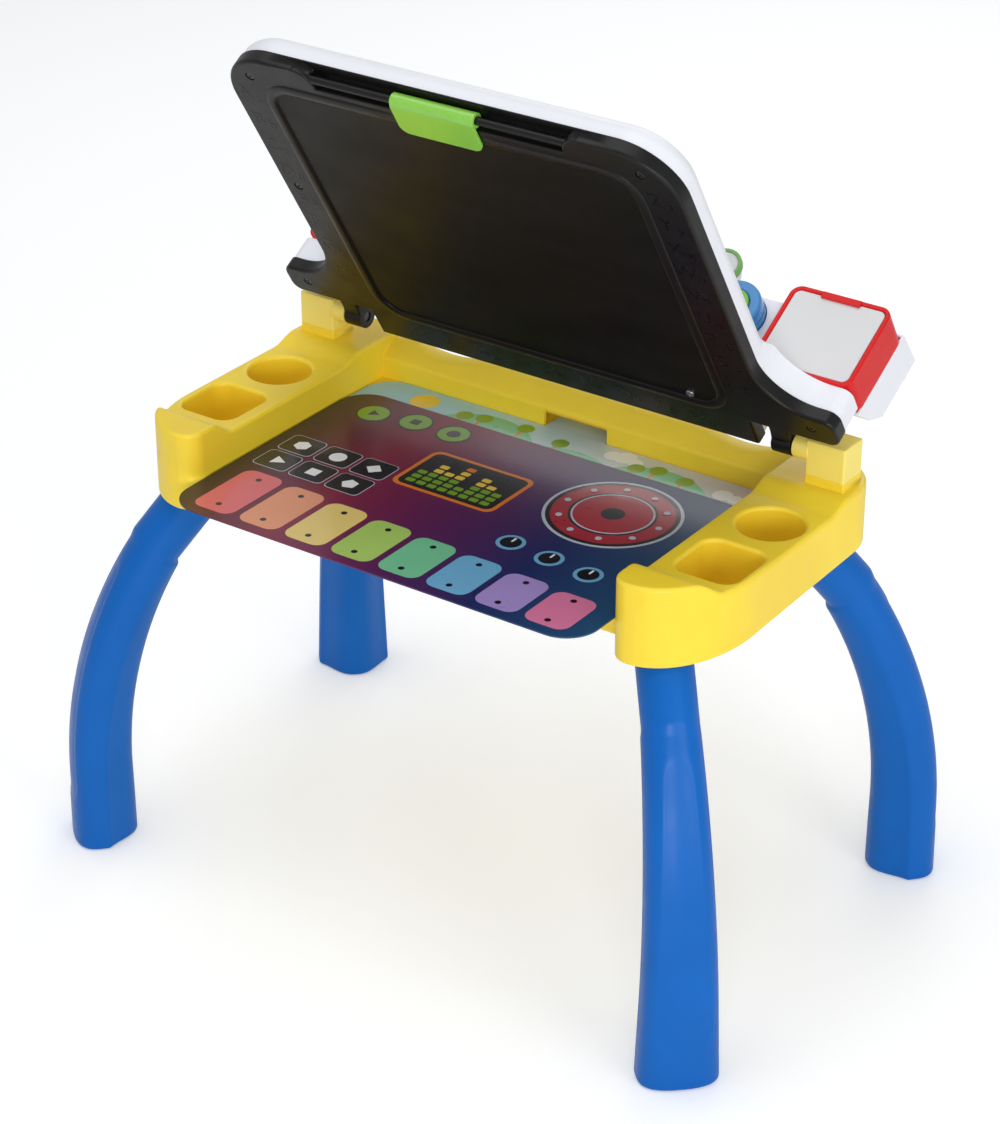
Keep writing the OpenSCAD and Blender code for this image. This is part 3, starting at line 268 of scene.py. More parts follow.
plastics = [
    plastic("tray_yellow", linear(252, 219, 54), 0.36),
    plastic("post_yellow", linear(249, 228, 112), 0.38),
    plastic("leg_blue", linear(4, 98, 186), 0.34, grain=0.16, shine=0.22),
    plastic("frame_black", linear(18, 18, 19), 0.36, grain=0.16, drift=0.12, shine=0.3),
    plastic("shell_white", linear(236, 238, 246), 0.34, drift=0.015),
    plastic("fascia_white", linear(241, 242, 247), 0.32, drift=0.015),
    plastic("console_red", linear(216, 30, 32), 0.28, grain=0.04, coat=0.04, shine=0.16),
    plastic("pad_pale", linear(218, 218, 220), 0.5, grain=0.25, drift=0.02),
    plastic("handset_blue", linear(40, 126, 192), 0.26, grain=0.05, coat=0.3),
    plastic("pad_green", linear(121, 184, 52), 0.34),
    plastic("dial_green", linear(112, 168, 84), 0.3),
    plastic("speaker_dark", linear(70, 70, 74), 0.6, grain=0.4),
    plastic("inner_grey", linear(213, 216, 222), 0.5),
    plastic("cell_grey", linear(90, 102, 114), 0.35, coat=0.3),
    plastic("sensor_film", linear(200, 180, 120), 0.4),
    plastic("circuit_green", linear(63, 122, 74), 0.45, drift=0.1),
]
print(len(plastics), "plastics")

# %% [markdown]
# A few surfaces need their own recipe. The chalkboard is matt and keeps a ghost of wiped chalk.
# The clip is tinted see-through plastic. The screws are turned steel, and the hinge pins are
# blackened. The dark card has a print that runs from black through plum to blue.

# %% Make the special finishes
def chalk_surface():
    finish = Finish("chalk_surface", 0.42)
    swipes = finish.node("Mapping", Scale=(1, 5, 5))
    finish.link(finish.place, swipes.inputs["Vector"])
    dust = finish.spread(finish.noise(9, 6, swipes.outputs["Vector"]))
    finish.colour(finish.mix(dust, linear(17, 16, 15), linear(25, 24, 23)))
    gloss = finish.spread(finish.noise(20, 4), 0.36, 0.5)
    finish.link(gloss, finish.shader.inputs["Roughness"])
    finish.grain(finish.noise(2600, 2), 0.25, GRAIN_DEPTH)
    finish.set(Specular_IOR_Level=0.14)
    return finish


def tinted_clip():
    finish = plastic("clip_green", linear(156, 228, 88), 0.2, grain=0.02)
    finish.set(Transmission_Weight=0.25, Coat_Weight=0.4)
    return finish


def steel(name, colour, roughness):
    finish = Finish(name, roughness)
    finish.set(Metallic=1.0)
    scratches = finish.spread(finish.noise(420, 6))
    finish.colour(finish.mix(scratches, shade(colour, 0.85), shade(colour, 1.1)))
    finish.grain(finish.noise(900, 4), 0.15, GRAIN_DEPTH)
    return finish


def across_card(finish, width, colours):
    """A colour that changes from the card's left edge to its right edge."""
    split = finish.node("SeparateXYZ")
    finish.link(finish.place, split.inputs["Vector"])
    share = finish.stretch(split.outputs["X"], -width / 2, width / 2)
    ramp = finish.node("ValToRGB")
    stops = ramp.color_ramp.elements
    for number, colour in enumerate(colours):
        where = number / (len(colours) - 1)
        stop = stops[number] if number < 2 else stops.new(where)
        stop.position = where
        stop.color = colour
    finish.link(share, ramp.inputs["Fac"])
    return ramp.outputs["Color"]


def laminated(name, width, colours):
    """A printed card under a clear film."""
    finish = Finish(name, 0.3)
    print_colour = across_card(finish, width, colours)
    speckle = finish.spread(finish.noise(700, 4), 0, 0.03)
    finish.colour(finish.mix(speckle, print_colour, linear(200, 200, 210)))
    finish.set(Coat_Weight=0.2, Coat_Roughness=0.12, Specular_IOR_Level=0.35)
    finish.grain(finish.noise(90, 2), 0.05, 0.0002)
    return finish


# %% Give every solid its finish
card_low, card_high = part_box("music_card")
CARD_W = card_high.x - card_low.x
CARD_TINTS = {
    "card_dark": [(28, 26, 38), (128, 16, 56), (88, 16, 82), (18, 32, 92), (24, 74, 116)],
    "card_light": [(150, 205, 222), (176, 220, 230), (214, 222, 220), (206, 196, 210)],
    "touch_print": [(196, 226, 236), (226, 238, 240), (204, 232, 216)],
}
specials = [
    chalk_surface(),
    tinted_clip(),
    steel("steel", linear(190, 194, 200), 0.32),
    steel("screw_black", linear(92, 92, 96), 0.4),
]
for name, tints in CARD_TINTS.items():
    specials.append(laminated(name, CARD_W, [linear(*tint) for tint in tints]))
finishes = {finish.name: finish for finish in plastics + specials}

slots = {row["node"]: row["material_slot"] for row in frame["record"]["subparts"]}
for node, slot in slots.items():
    solid = frame["nodes"][node]
    solid.data.materials.clear()
    solid.data.materials.append(finishes[slot].material)
frame["nodes"]["hinge_pins"].data.materials[0] = finishes["screw_black"].material
print(len(frame["nodes"]), "solids have a finish")

# %% [markdown]
# ## Working on a piece
#
# An operator acts on whatever is selected, so each step starts by selecting one piece alone.
# Edges are then picked in code, by how sharp they are and where they lie, as a modeller picks
# them with the mouse. A moulded part has no knife edges: rounding its rims catches the light,
# and that thin line of highlight is what makes it read as plastic.
#
# The CAD mesh also has points in the middle of its curved faces. A bevel that runs over one would
# fold the skin there, so the points that lie too near the picked edges are dissolved first.

# %% Tools for picking
def pick(*parts):
    bpy.ops.object.select_all(action="DESELECT")
    for part in parts:
        part.select_set(True)
    bpy.context.view_layer.objects.active = parts[0]


def start_edit(part, kind="VERT", everything=False):
    pick(part)
    bpy.ops.object.mode_set(mode="EDIT")
    bpy.ops.mesh.select_mode(type=kind)
    bpy.ops.mesh.select_all(action="SELECT" if everything else "DESELECT")
    return bmesh.from_edit_mesh(part.data)


def end_edit():
    bpy.ops.object.mode_set(mode="OBJECT")


# %% Tools for rounding
FLAT = math.radians(20)
SAME_PLACE = 0.00002


def points_along(edges, step):
    """A search tree of points along the edges."""
    points = []
    for edge in edges:
        start, end = (vertex.co for vertex in edge.verts)
        count = math.ceil(edge.calc_length() / step)
        points += [start.lerp(end, number / count) for number in range(count + 1)]
    tree = KDTree(len(points))
    for number, point in enumerate(points):
        tree.insert(point, number)
    tree.balance()
    return tree


def clear_the_way(mesh, rims, reach):
    """Dissolve the points on smooth faces that a bevel of the edges would run over."""
    tree = points_along(rims, reach / 2)
    for vertex in mesh.verts:
        flat = all(edge.calc_face_angle(0) < FLAT for edge in vertex.link_edges)
        vertex.select_set(flat and tree.find(vertex.co)[2] < reach)
    bpy.ops.mesh.dissolve_verts()


def sharp_edges(mesh, where, sharper_than, outer):
    limit = math.radians(sharper_than)
    chosen = []
    for edge in mesh.edges:
        sharp = len(edge.link_faces) == 2 and edge.calc_face_angle() > limit
        if sharp and edge.is_convex == outer and where((edge.verts[0].co + edge.verts[1].co) / 2 / MM):
            chosen.append(edge)
    return chosen


def round_edges(part, width, where, segments=4, sharper_than=40, outer=True):
    """Bevel the sharp edges, outer or inner ones, whose middle in millimetres passes the test."""
    mesh = start_edit(part, "VERT")
    clear_the_way(mesh, sharp_edges(mesh, where, sharper_than, outer), 1.1 * width * MM)
    bpy.ops.mesh.select_mode(type="EDGE")
    bpy.ops.mesh.select_all(action="DESELECT")
    mesh = bmesh.from_edit_mesh(part.data)
    rims = sharp_edges(mesh, where, sharper_than, outer)
    for rim in rims:
        rim.select_set(True)
    bmesh.update_edit_mesh(part.data)
    bpy.ops.mesh.bevel(
        offset=width * MM, segments=segments, affect="EDGES", clamp_overlap=False, loop_slide=False,
    )
    bpy.ops.mesh.select_all(action="SELECT")
    bpy.ops.mesh.remove_doubles(threshold=SAME_PLACE)
    bpy.ops.mesh.dissolve_degenerate(threshold=SAME_PLACE)
    end_edit()
    return len(rims)


def everywhere(point):
    return True


# %% Tools for copies and shading
CAD_WELD = 0.000002
ONE_FACE = math.radians(0.6)
WELD = 0.000001


def apply(part, kind, **settings):
    """Add a modifier, set it and apply it."""
    pick(part)
    bpy.ops.object.modifier_add(type=kind)
    modifier = part.modifiers[-1]
    for name, value in settings.items():
        setattr(modifier, name, value)
    bpy.ops.object.modifier_apply(modifier=modifier.name)


def smooth(part, angle=40):
    pick(part)
    bpy.ops.object.shade_smooth_by_angle(angle=math.radians(angle))
    apply(part, "WEIGHTED_NORMAL", keep_sharp=True)


def twin(part, name):
    """A copy with its own mesh."""
    copy = bpy.data.objects.new(name, part.data.copy())
    bpy.context.collection.objects.link(copy)
    return copy


def copy_of(node, name):
    """A merged copy of a CAD solid, with its flat faces whole again, as a start for a new piece."""
    part = twin(frame["nodes"][node], name)
    start_edit(part, everything=True)
    bpy.ops.mesh.remove_doubles(threshold=CAD_WELD)
    bpy.ops.mesh.dissolve_limited(angle_limit=ONE_FACE)
    end_edit()
    return part


def look_outwards(part):
    start_edit(part, everything=True)
    bpy.ops.mesh.normals_make_consistent(inside=False)
    end_edit()


def hand_over(part, body, slot, *nodes, finish=None):
    """Give a piece its finish, and say what it rides on and which solids it stands for."""
    part.data.materials.clear()
    part.data.materials.append((finish or finishes[slot]).material)
    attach(part, body)
    if nodes:
        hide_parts(*nodes)
    print(part.name, len(part.data.polygons), "faces")


# %% [markdown]
# Small pieces start from primitives. A slab is a cube with its upright edges bevelled, and a
# disc or a many-sided shape is a cylinder with its rim bevelled.

# %% Tools for slabs and discs
def moved(part):
    """Put a piece's place, turn and size into its mesh."""
    pick(part)
    bpy.ops.object.transform_apply(location=True, rotation=True, scale=True)
    return part


def placed(name):
    """Name the new primitive, and put its place and size into its mesh."""
    part = bpy.context.object
    part.name = name
    return moved(part)


def block(name, size, middle):
    bpy.ops.object.select_all(action="DESELECT")
    bpy.ops.mesh.primitive_cube_add(size=1, location=Vector(middle) * MM)
    bpy.context.object.scale = Vector(size) * MM
    return placed(name)


def bevel_some(part, chosen, width, segments):
    """Bevel the edges that pass the test."""
    mesh = start_edit(part, "EDGE")
    for edge in mesh.edges:
        edge.select_set(chosen(edge))
    bmesh.update_edit_mesh(part.data)
    bpy.ops.mesh.bevel(offset=width * MM, segments=segments, affect="EDGES")
    end_edit()
    return part


def slab(name, size, at, corner, segments=5):
    """A slab in millimetres, from the middle of its underside, with its upright edges rounded."""
    def upright(edge):
        return abs(edge.verts[0].co.z - edge.verts[1].co.z) > size[2] * MM / 2
    part = block(name, size, Vector(at) + Vector((0, 0, size[2] / 2)))
    return bevel_some(part, upright, corner, segments)


def disc(name, radius, height, at, sides=48, turn=0.0, ease=0.3):
    """A disc, or a shape with that many sides, with a bevelled rim."""
    def on_top(edge):
        return all(vertex.co.z > (at[2] + height - 0.01) * MM for vertex in edge.verts)
    bpy.ops.object.select_all(action="DESELECT")
    bpy.ops.mesh.primitive_cylinder_add(
        vertices=sides, radius=radius * MM, depth=height * MM, rotation=(0, 0, math.radians(turn)),
        location=(Vector(at) + Vector((0, 0, height / 2))) * MM,
    )
    return bevel_some(placed(name), on_top, height * ease, 2)


# %% Tools for mirroring and joining
def mirrored(part, name, scale):
    """A copy turned over, with its faces looking outwards again."""
    copy = twin(part, name)
    copy.scale = scale
    look_outwards(moved(copy))
    return copy


def joined(name, parts):
    pick(*parts)
    if len(parts) > 1:
        bpy.ops.object.join()
    parts[0].name = name
    return parts[0]


# %% [markdown]
# ## The tray
#
# The real tray is one big moulding, hollow underneath. The CAD solid has its plan, its wells and
# its sockets, so a copy of it is the start, and the work is in the rims: a soft round along the
# tops of the arms and round the wells, a wide fillet at the foot of each well, and a small round
# along the skirt's lower edge. The hollow under the arms runs three millimetres below the rims.
# Its edges are inner corners, so the test for outer ones leaves them out. Two blocks fill the
# grooves at the back between the beam and the arms.

# %% Tell the tray's edges apart
ARM_TOP = 346
RIM_LOW = 335
SHOULDER_TOP = 352
WELL_FLOOR = 308
SKIRT_TOP = 306
ARM_IN = 184
BEAM_HALF = 187
STEP_Y = 123.5
STEP_DEEP = 1.6
FILLER_AT = Vector((192, 124.9, 325))
FILLER_SIZE = Vector((16, 14, 41.8))
RIM_ROUND = 3.0
PEDESTAL_ROUND = 1.0
WELL_FILLET = 5.0
SKIRT_ROUND = 0.9


def on_pedestal(point):
    return point.z > SHOULDER_TOP + 0.6 and point.y > 0


def on_beam_end(point):
    return abs(abs(point.x) - BEAM_HALF) < 0.1 and point.y > 0 and point.z < ARM_TOP + 0.5


def on_tray_rim(point):
    return point.z > RIM_LOW and not on_pedestal(point) and not on_beam_end(point)


def on_well_floor(point):
    return abs(point.z - WELL_FLOOR) < 0.5 and abs(point.x) > ARM_IN


def on_skirt(point):
    return point.z < SKIRT_TOP


# %% Shape the tray
def merge_beam_corners(part):
    """Draw the short steps where the beam runs into the arms together, because a bevel folds there."""
    mesh = start_edit(part)
    for vertex in mesh.verts:
        x, y = abs(vertex.co.x) / MM, vertex.co.y / MM
        if ARM_IN - 0.1 < x < BEAM_HALF - 0.5 and STEP_Y - 0.1 < y < STEP_Y + STEP_DEEP + 0.1:
            vertex.co.x = math.copysign(ARM_IN * MM, vertex.co.x)
            vertex.co.y = STEP_Y * MM
    bmesh.update_edit_mesh(part.data)
    bpy.ops.mesh.select_all(action="SELECT")
    bpy.ops.mesh.remove_doubles(threshold=SAME_PLACE / 2)
    end_edit()


def beam_filler(side):
    """A block that closes the groove between the beam's end and an arm, as high as the beam."""
    part = block("filler", FILLER_SIZE, (side * FILLER_AT.x, FILLER_AT.y, FILLER_AT.z))
    back = FILLER_AT.y + FILLER_SIZE.y / 2
    round_edges(part, RIM_ROUND, lambda point: point.z > ARM_TOP - 1 and point.y > back - 1, segments=5)
    return part


tray = copy_of("tray_shell", "tray")
merge_beam_corners(tray)
print(round_edges(tray, RIM_ROUND, on_tray_rim, segments=5), "rim edges")
print(round_edges(tray, PEDESTAL_ROUND, on_pedestal, segments=3), "pedestal edges")
print(round_edges(tray, WELL_FILLET, on_well_floor, segments=5, outer=False), "well floor edges")
print(round_edges(tray, SKIRT_ROUND, on_skirt, segments=2), "skirt edges")
tray = joined("tray", [tray, beam_filler(-1), beam_filler(1)])
smooth(tray)
hand_over(tray, "table", "tray_yellow", "tray_shell")

# %% [markdown]
# ## The hinge posts
#
# Two paler blocks stand on the tray's shoulders and carry the lid's pins. Each is a slab with
# soft edges and a round barrel that reaches in towards the lid, and it has a small triangle in
# relief on its inner face.

# %% Shape the hinge posts
hinge = next(joint for joint in frame["joints"] if joint["name"] == "lid_hinge")
HINGE = Vector(hinge["pos_m"])
POST_SIZE = (32, 26.2, 26.8)
POST_AT = Vector((230.4, 91.4, 359.1))
BARREL_R = 9.3
BARREL_IN = 202.7
BARREL_LONG = 13
POST_CORNER = 1.4
POST_TOP_ROUND = 1.1
MARK_AT = Vector((214.45, 87, 366))


def looking_in(part, sign, place):
    """Stand a disc upright, so that its bevelled rim looks to the middle of the desk."""
    at = Matrix.Translation(Vector((sign * place.x, place.y, place.z)) * MM)
    part.data.transform(at @ Matrix.Rotation(-sign * math.pi / 2, 4, "Y"))
    return part


def post_mark():
    """A triangle in outline."""
    mark = disc("mark", 5.2, 0.5, (0, 0, 0), sides=3)
    inside = disc("inside", 3.2, 2, (0, 0, -1), sides=3)
    apply(mark, "BOOLEAN", object=inside, operation="DIFFERENCE", solver="EXACT")
    bpy.data.objects.remove(inside)
    return mark


def at_post_top(point):
    return point.z > POST_AT.z + 20


barrel_end = Vector((BARREL_IN + BARREL_LONG, HINGE.y / MM, HINGE.z / MM))
for side, sign in (("left", -1), ("right", 1)):
    body = slab("block", POST_SIZE, (sign * POST_AT.x, POST_AT.y, POST_AT.z), POST_CORNER)
    round_edges(body, POST_TOP_ROUND, at_post_top, segments=3, sharper_than=60)
    barrel = disc("barrel", BARREL_R, BARREL_LONG, (0, 0, 0), sides=64, ease=0.07)
    looking_in(barrel, sign, barrel_end)
    mark = looking_in(post_mark(), sign, MARK_AT)
    post = joined("post_" + side, [body, barrel, mark])
    smooth(post)
    hand_over(post, "table", "post_yellow", "hinge_post_" + side)

# %% [markdown]
# ## The legs
#
# A leg is a blow-moulded horn: a wide foot with a rib at the back that narrows into a round neck
# while it arches inwards. A flat grid is rolled up into it. Each row of the grid becomes a ring
# round the leg, and a formula gives the ring's width, its bulge to the front, its flanks and
# its rib. The seam is then merged and the two ends are filled. One leg is modelled and the other
# three are mirrored copies.

# %% Work out a ring of the leg
FOOT = Vector((270, 164, 0))
SPLAY = math.radians(47)
BEND_R = 350
BEND = math.radians(39)
STRAIGHT = 59.7
ARCH_END = Vector((-78, 0, 280))
NECK_R = 20.5
NECK_LOW = -42
NECK_HIGH = 14
PEG_R = 14
PEG_LOW = 304
PEG_HIGH = 332
FOOT_ROUND = 3.5
PANEL_LOW = 54
PANEL_HIGH = 222
PANEL_WIDE = 20
PANEL_NARROW = 9
PANEL_SINK = 0.9
FOOT_HALF = 30
FOOT_FRONT = 23
FOOT_FLANK = 8
FOOT_RIB = 20
ROUND_END = math.radians(35)
LEG_SIDES = 120
LEG_TURNS = [math.tau * step / LEG_SIDES for step in range(LEG_SIDES + 1)]
FOOT_STEPS = 5
ARCH_STEPS = 48
COLLAR_STEPS = 6
COLLAR_STEP = 1.4


def eased(share):
    share = max(0, min(1, share))
    return (1 - math.cos(math.pi * share)) / 2


def power(value, exponent):
    return math.copysign(abs(value) ** exponent, value)


def panel_depth(across, height):
    """How deep the long panel on the outer face is sunk: wide and round below, narrow above."""
    share = max(0, min(1, (height - PANEL_LOW) / (PANEL_HIGH - PANEL_LOW)))
    half = PANEL_WIDE + (PANEL_NARROW - PANEL_WIDE) * share
    beyond = max(0, PANEL_LOW - height, height - PANEL_HIGH)
    inside = half - math.hypot(across, beyond)
    return PANEL_SINK * eased(inside / 4 + 0.5)


def leg_ring(bend, height, inset=0):
    """A ring of the arched part, at that angle of the arch and that height of its middle line."""
    share = min(1, height / (STRAIGHT + BEND_R * math.sin(ROUND_END)))
    half = FOOT_HALF - 9.4 * share - inset
    front = FOOT_FRONT - 2.4 * share - inset
    flank = FOOT_FLANK + 12.6 * share ** 2 - inset
    rib = FOOT_RIB * (1 - share ** 2)
    round_share = share ** 3
    ring = []
    for turn in LEG_TURNS:
        ahead = math.cos(turn)
        back = flank * abs(ahead) ** (0.4 + 0.6 * round_share) + rib * ahead ** 4
        across = half * power(math.sin(turn), 0.8 + 0.2 * round_share)
        bulge = front * abs(ahead) ** (0.6 + 0.4 * round_share)
        deep = bulge - panel_depth(across, height) if ahead > 0 else -back
        middle = -BEND_R * (1 - math.cos(bend))
        ring.append(Vector((
            middle + deep * math.cos(bend), across, height + deep * math.sin(bend),
        )))
    return ring


def round_ring(middle, tilt, radius):
    ring = []
    for turn in LEG_TURNS:
        deep = radius * math.cos(turn)
        across = radius * math.sin(turn)
        ring.append(middle + Vector((deep * math.cos(tilt), across, deep * math.sin(tilt))))
    return ring


def neck_ring(along, radius=NECK_R):
    up = Vector((-math.sin(BEND), 0, math.cos(BEND)))
    return round_ring(ARCH_END + up * along, BEND, radius)


def between(first, second, share):
    return [a.lerp(b, share) for a, b in zip(first, second)]


# %% Stack the rings
leg_rings = []
for step in range(FOOT_STEPS + 1):
    turn = math.radians(90 * step / FOOT_STEPS)
    leg_rings.append(leg_ring(0, FOOT_ROUND * (1 - math.cos(turn)), FOOT_ROUND * (1 - math.sin(turn))))
for height in range(6, 58, 3):
    leg_rings.append(leg_ring(0, height))
COLLAR_AT = BEND + NECK_LOW / BEND_R
for step in range(ARCH_STEPS + 1):
    bend = COLLAR_AT * step / ARCH_STEPS
    leg_rings.append(leg_ring(bend, STRAIGHT + BEND_R * math.sin(bend)))
for step in range(1, COLLAR_STEPS + 1):
    along = NECK_LOW + COLLAR_STEP * step
    bend = BEND + along / BEND_R
    arched = leg_ring(bend, STRAIGHT + BEND_R * math.sin(bend))
    leg_rings.append(between(arched, neck_ring(along), eased(step / COLLAR_STEPS)))
for along in (-28, -20, -10, 0, NECK_HIGH - 1):
    leg_rings.append(neck_ring(along))
leg_rings.append(neck_ring(NECK_HIGH, NECK_R - 1))
neck_end = neck_ring(NECK_HIGH, 0)[0]
for height in (PEG_LOW, PEG_HIGH):
    leg_rings.append(round_ring(Vector((neck_end.x, 0, height)), 0, PEG_R))
print(len(leg_rings), "rings of", LEG_SIDES, "points")

# %% Roll up a grid into the legs
def rolled_grid(name, rings):
    """A closed skin over rings of points in millimetres, each ring's last point on its first."""
    columns = len(rings[0])
    bpy.ops.object.select_all(action="DESELECT")
    bpy.ops.mesh.primitive_grid_add(x_subdivisions=columns - 1, y_subdivisions=len(rings) - 1)
    part = bpy.context.object
    part.name = name
    for number, vertex in enumerate(part.data.vertices):
        vertex.co = rings[number // columns][number % columns] * MM
    start_edit(part, everything=True)
    bpy.ops.mesh.remove_doubles(threshold=WELD)
    bpy.ops.mesh.fill_holes(sides=0)
    end_edit()
    look_outwards(part)
    return part


rear_right = rolled_grid("leg_rear_right_skin", leg_rings)
rear_right.location = FOOT * MM
rear_right.rotation_euler = (0, 0, SPLAY)
moved(rear_right)
legs = {
    "leg_rear_right": rear_right,
    "leg_rear_left": mirrored(rear_right, "leg_rear_left_skin", (-1, 1, 1)),
    "leg_front_right": mirrored(rear_right, "leg_front_right_skin", (1, -1, 1)),
    "leg_front_left": mirrored(rear_right, "leg_front_left_skin", (-1, -1, 1)),
}
for node, leg in legs.items():
    smooth(leg, 50)
    hand_over(leg, "table", "leg_blue", node)

# %% [markdown]
# ## The lid's own frame
#
# In the photograph the lid stands open. Its pieces are easier to shape while it lies flat with
# the hinge axis at the origin: then X runs to the right, -Y to the lid's front edge and +Z up
# from the chalkboard to the desktop. So a copy of a lid solid is turned back flat first, and
# each finished piece is turned up onto the lid again.

# %% Lay the lid flat and stand it up
LID_OPEN = math.radians(58.6)
LID = Matrix.Translation(HINGE) @ Matrix.Rotation(-LID_OPEN, 4, "X")


def flat_copy(node, name):
    part = copy_of(node, name)
    part.data.transform(LID.inverted())
    return part


def onto_lid(part):
    part.data.transform(LID)
    return part


def flat_box(node):
    """The lowest and the highest corner of a solid in millimetres, while the lid lies flat."""
    part = flat_copy(node, "measure")
    axes = list(zip(*(vertex.co / MM for vertex in part.data.vertices)))
    bpy.data.objects.remove(part)
    return Vector([min(axis) for axis in axes]), Vector([max(axis) for axis in axes])


def dress(node, name, body, width, where):
    """A lid piece that is its solid with softened outer edges."""
    part = flat_copy(node, name)
    round_edges(part, width, where, segments=3, sharper_than=50)
    smooth(part)
    hand_over(onto_lid(part), body, slots[node], node)


# %% [markdown]
# ## The chalkboard side
#
# The black frame has a wide round along its outer edge and small ones along the notch and the
# hinge lugs. The pockets of the screws stay crisp. The board lies a little below the frame.

# %% Shape the black frame
FACE = -5.3
SPLIT = 5.7
BOARD_HALF = 151
BOARD_NEAR = -32
BOARD_FAR = -284
NOTCH_HALF = 121
NOTCH_BACK = -298
FRAME_ROUND = 2.6
NOTCH_ROUND = 1.2
POCKET_R = 4.5
RIGHT_SCREWS = [(164, -294), (176, -169), (226, -36)]
LID_SCREWS = RIGHT_SCREWS + [(-x, y) for x, y in RIGHT_SCREWS]


def in_notch(point):
    return abs(point.x) < NOTCH_HALF and point.y < NOTCH_BACK + 0.6


def on_frame_edge(point):
    on_face = abs(point.z - FACE) < 0.1
    over_board = abs(point.x) < BOARD_HALF + 1 and BOARD_FAR - 1 < point.y < BOARD_NEAR + 1
    at_screw = any((point.xy - Vector(place)).length < POCKET_R for place in LID_SCREWS)
    return on_face and not over_board and not at_screw and not in_notch(point)


def on_notch_edge(point):
    return in_notch(point) and abs(point.z - FACE) < 0.1


board_frame = flat_copy("board_frame", "chalkboard_frame")
print(round_edges(board_frame, FRAME_ROUND, on_frame_edge, segments=5), "edges round the frame")
print(round_edges(board_frame, NOTCH_ROUND, on_notch_edge, segments=3), "edges round the notch")
smooth(board_frame)
hand_over(onto_lid(board_frame), "lid", "frame_black", "board_frame")

# %% [markdown]
# The white shell keeps the rounds of its solid. Only its lower edge, at the parting line, is
# softened. Where the desktop's round edge runs out into the flares, the CAD mesh has slivers, and
# a sliver spoils the shading, so close points there are merged and fewer edges count as smooth.

# %% Soften the white shell
PARTING_ROUND = 0.5
FLARE_X = 160
FLARE_FRONT = -85
FLARE_BACK = -50
SLIVER = 0.0006


def on_parting_line(point):
    return abs(point.z - SPLIT) < 0.2


def merge_at_flares(part):
    mesh = start_edit(part)
    before = len(mesh.verts)
    for vertex in mesh.verts:
        x, y, z = vertex.co / MM
        vertex.select_set(abs(x) > FLARE_X and FLARE_FRONT < y < FLARE_BACK and z > SPLIT + 2)
    bmesh.update_edit_mesh(part.data)
    bpy.ops.mesh.remove_doubles(threshold=SLIVER)
    end_edit()
    return before - len(part.data.vertices)


shell = flat_copy("desktop_shell", "white_shell")
print(merge_at_flares(shell), "points merged at the flares")
print(round_edges(shell, PARTING_ROUND, on_parting_line), "lower edges")
smooth(shell, angle=32)
hand_over(onto_lid(shell), "lid", "shell_white", "desktop_shell")

# %% [markdown]
# A raised bead runs round the board and hides its edge. Its section is a flat half round, which
# is carried along a rounded rectangle, and the grid is rolled up as it was for the legs. The bead
# is flattened where the paper clip's tongue has to pass over it.

# %% Run the bead round the board
BEAD_OFF = 4.6
BEAD_HALF = 4.2
BEAD_HIGH = 1.5
BEAD_LOW = 0.25
BEAD_SUNK = 0.4
BEAD_CORNER = 24
BEAD_SIDES = 16
CLIP_ROOM = 40
CLIP_EASE = 8


def rounded_path(half, near, far, radius, steps=10):
    """Points and outward directions round a rectangle with round corners, closed at its start."""
    path = []
    for quarter, (x, y) in enumerate(((1, 1), (-1, 1), (-1, -1), (1, -1))):
        middle = Vector((x * (half - radius), near - radius if y > 0 else far + radius))
        for step in range(steps + 1):
            turn = math.radians(90 * (quarter + step / steps))
            out = Vector((math.cos(turn), math.sin(turn)))
            path.append((middle + out * radius, out))
    path.append(path[0])
    return path


def bead_height(point):
    under_clip = point.y < BOARD_FAR
    share = eased((abs(point.x) - CLIP_ROOM) / CLIP_EASE) if under_clip else 1
    return BEAD_LOW + (BEAD_HIGH - BEAD_LOW) * share


def bead_ring(point, out):
    ring = []
    for step in range(BEAD_SIDES + 1):
        turn = math.tau * step / BEAD_SIDES
        rise = math.sin(turn) * (bead_height(point) if math.sin(turn) > 0 else BEAD_SUNK)
        place = point + out * BEAD_HALF * math.cos(turn)
        ring.append(Vector((place.x, place.y, FACE - rise)))
    return ring


def finer(path, length=12):
    """More points on the long straight runs."""
    points = []
    for (start, out), (end, last) in zip(path, path[1:]):
        count = max(1, round((end - start).length / length))
        for step in range(count):
            points.append((start.lerp(end, step / count), out.lerp(last, step / count)))
    return points + [path[-1]]


bead_path = finer(rounded_path(
    BOARD_HALF + BEAD_OFF, BOARD_NEAR + BEAD_OFF, BOARD_FAR - BEAD_OFF, BEAD_CORNER,
))
bead = rolled_grid("board_bead", [bead_ring(point, out) for point, out in bead_path])
smooth(bead, 60)
hand_over(onto_lid(bead), "lid", "frame_black")

# %% [markdown]
# ## Print
#
# The print on the cards and the panel is made of real, very thin slabs and discs: then it stays
# crisp at any distance. Shapes of one colour are joined.

# %% Mix the inks
def ink(name, red, green, blue):
    """Printing ink under the clear film."""
    return plastic("ink_" + name, linear(red, green, blue), 0.32, grain=0.03, coat=0.4, drift=0.04)


INK_COLOURS = {
    "rose": (226, 104, 112),
    "peach": (232, 152, 112),
    "sand": (236, 208, 122),
    "lime": (172, 208, 104),
    "mint": (118, 200, 154),
    "sky": (112, 176, 216),
    "lilac": (166, 142, 206),
    "pink": (220, 122, 164),
    "night": (22, 20, 34),
    "red": (176, 30, 52),
    "silver": (196, 204, 216),
    "orange": (232, 126, 36),
    "leaf": (122, 168, 28),
    "meadow": (96, 176, 84),
    "sun": (246, 206, 66),
    "cloud": (244, 246, 248),
}
inks = {name: ink(name, *colour) for name, colour in INK_COLOURS.items()}
print(len(inks), "inks")

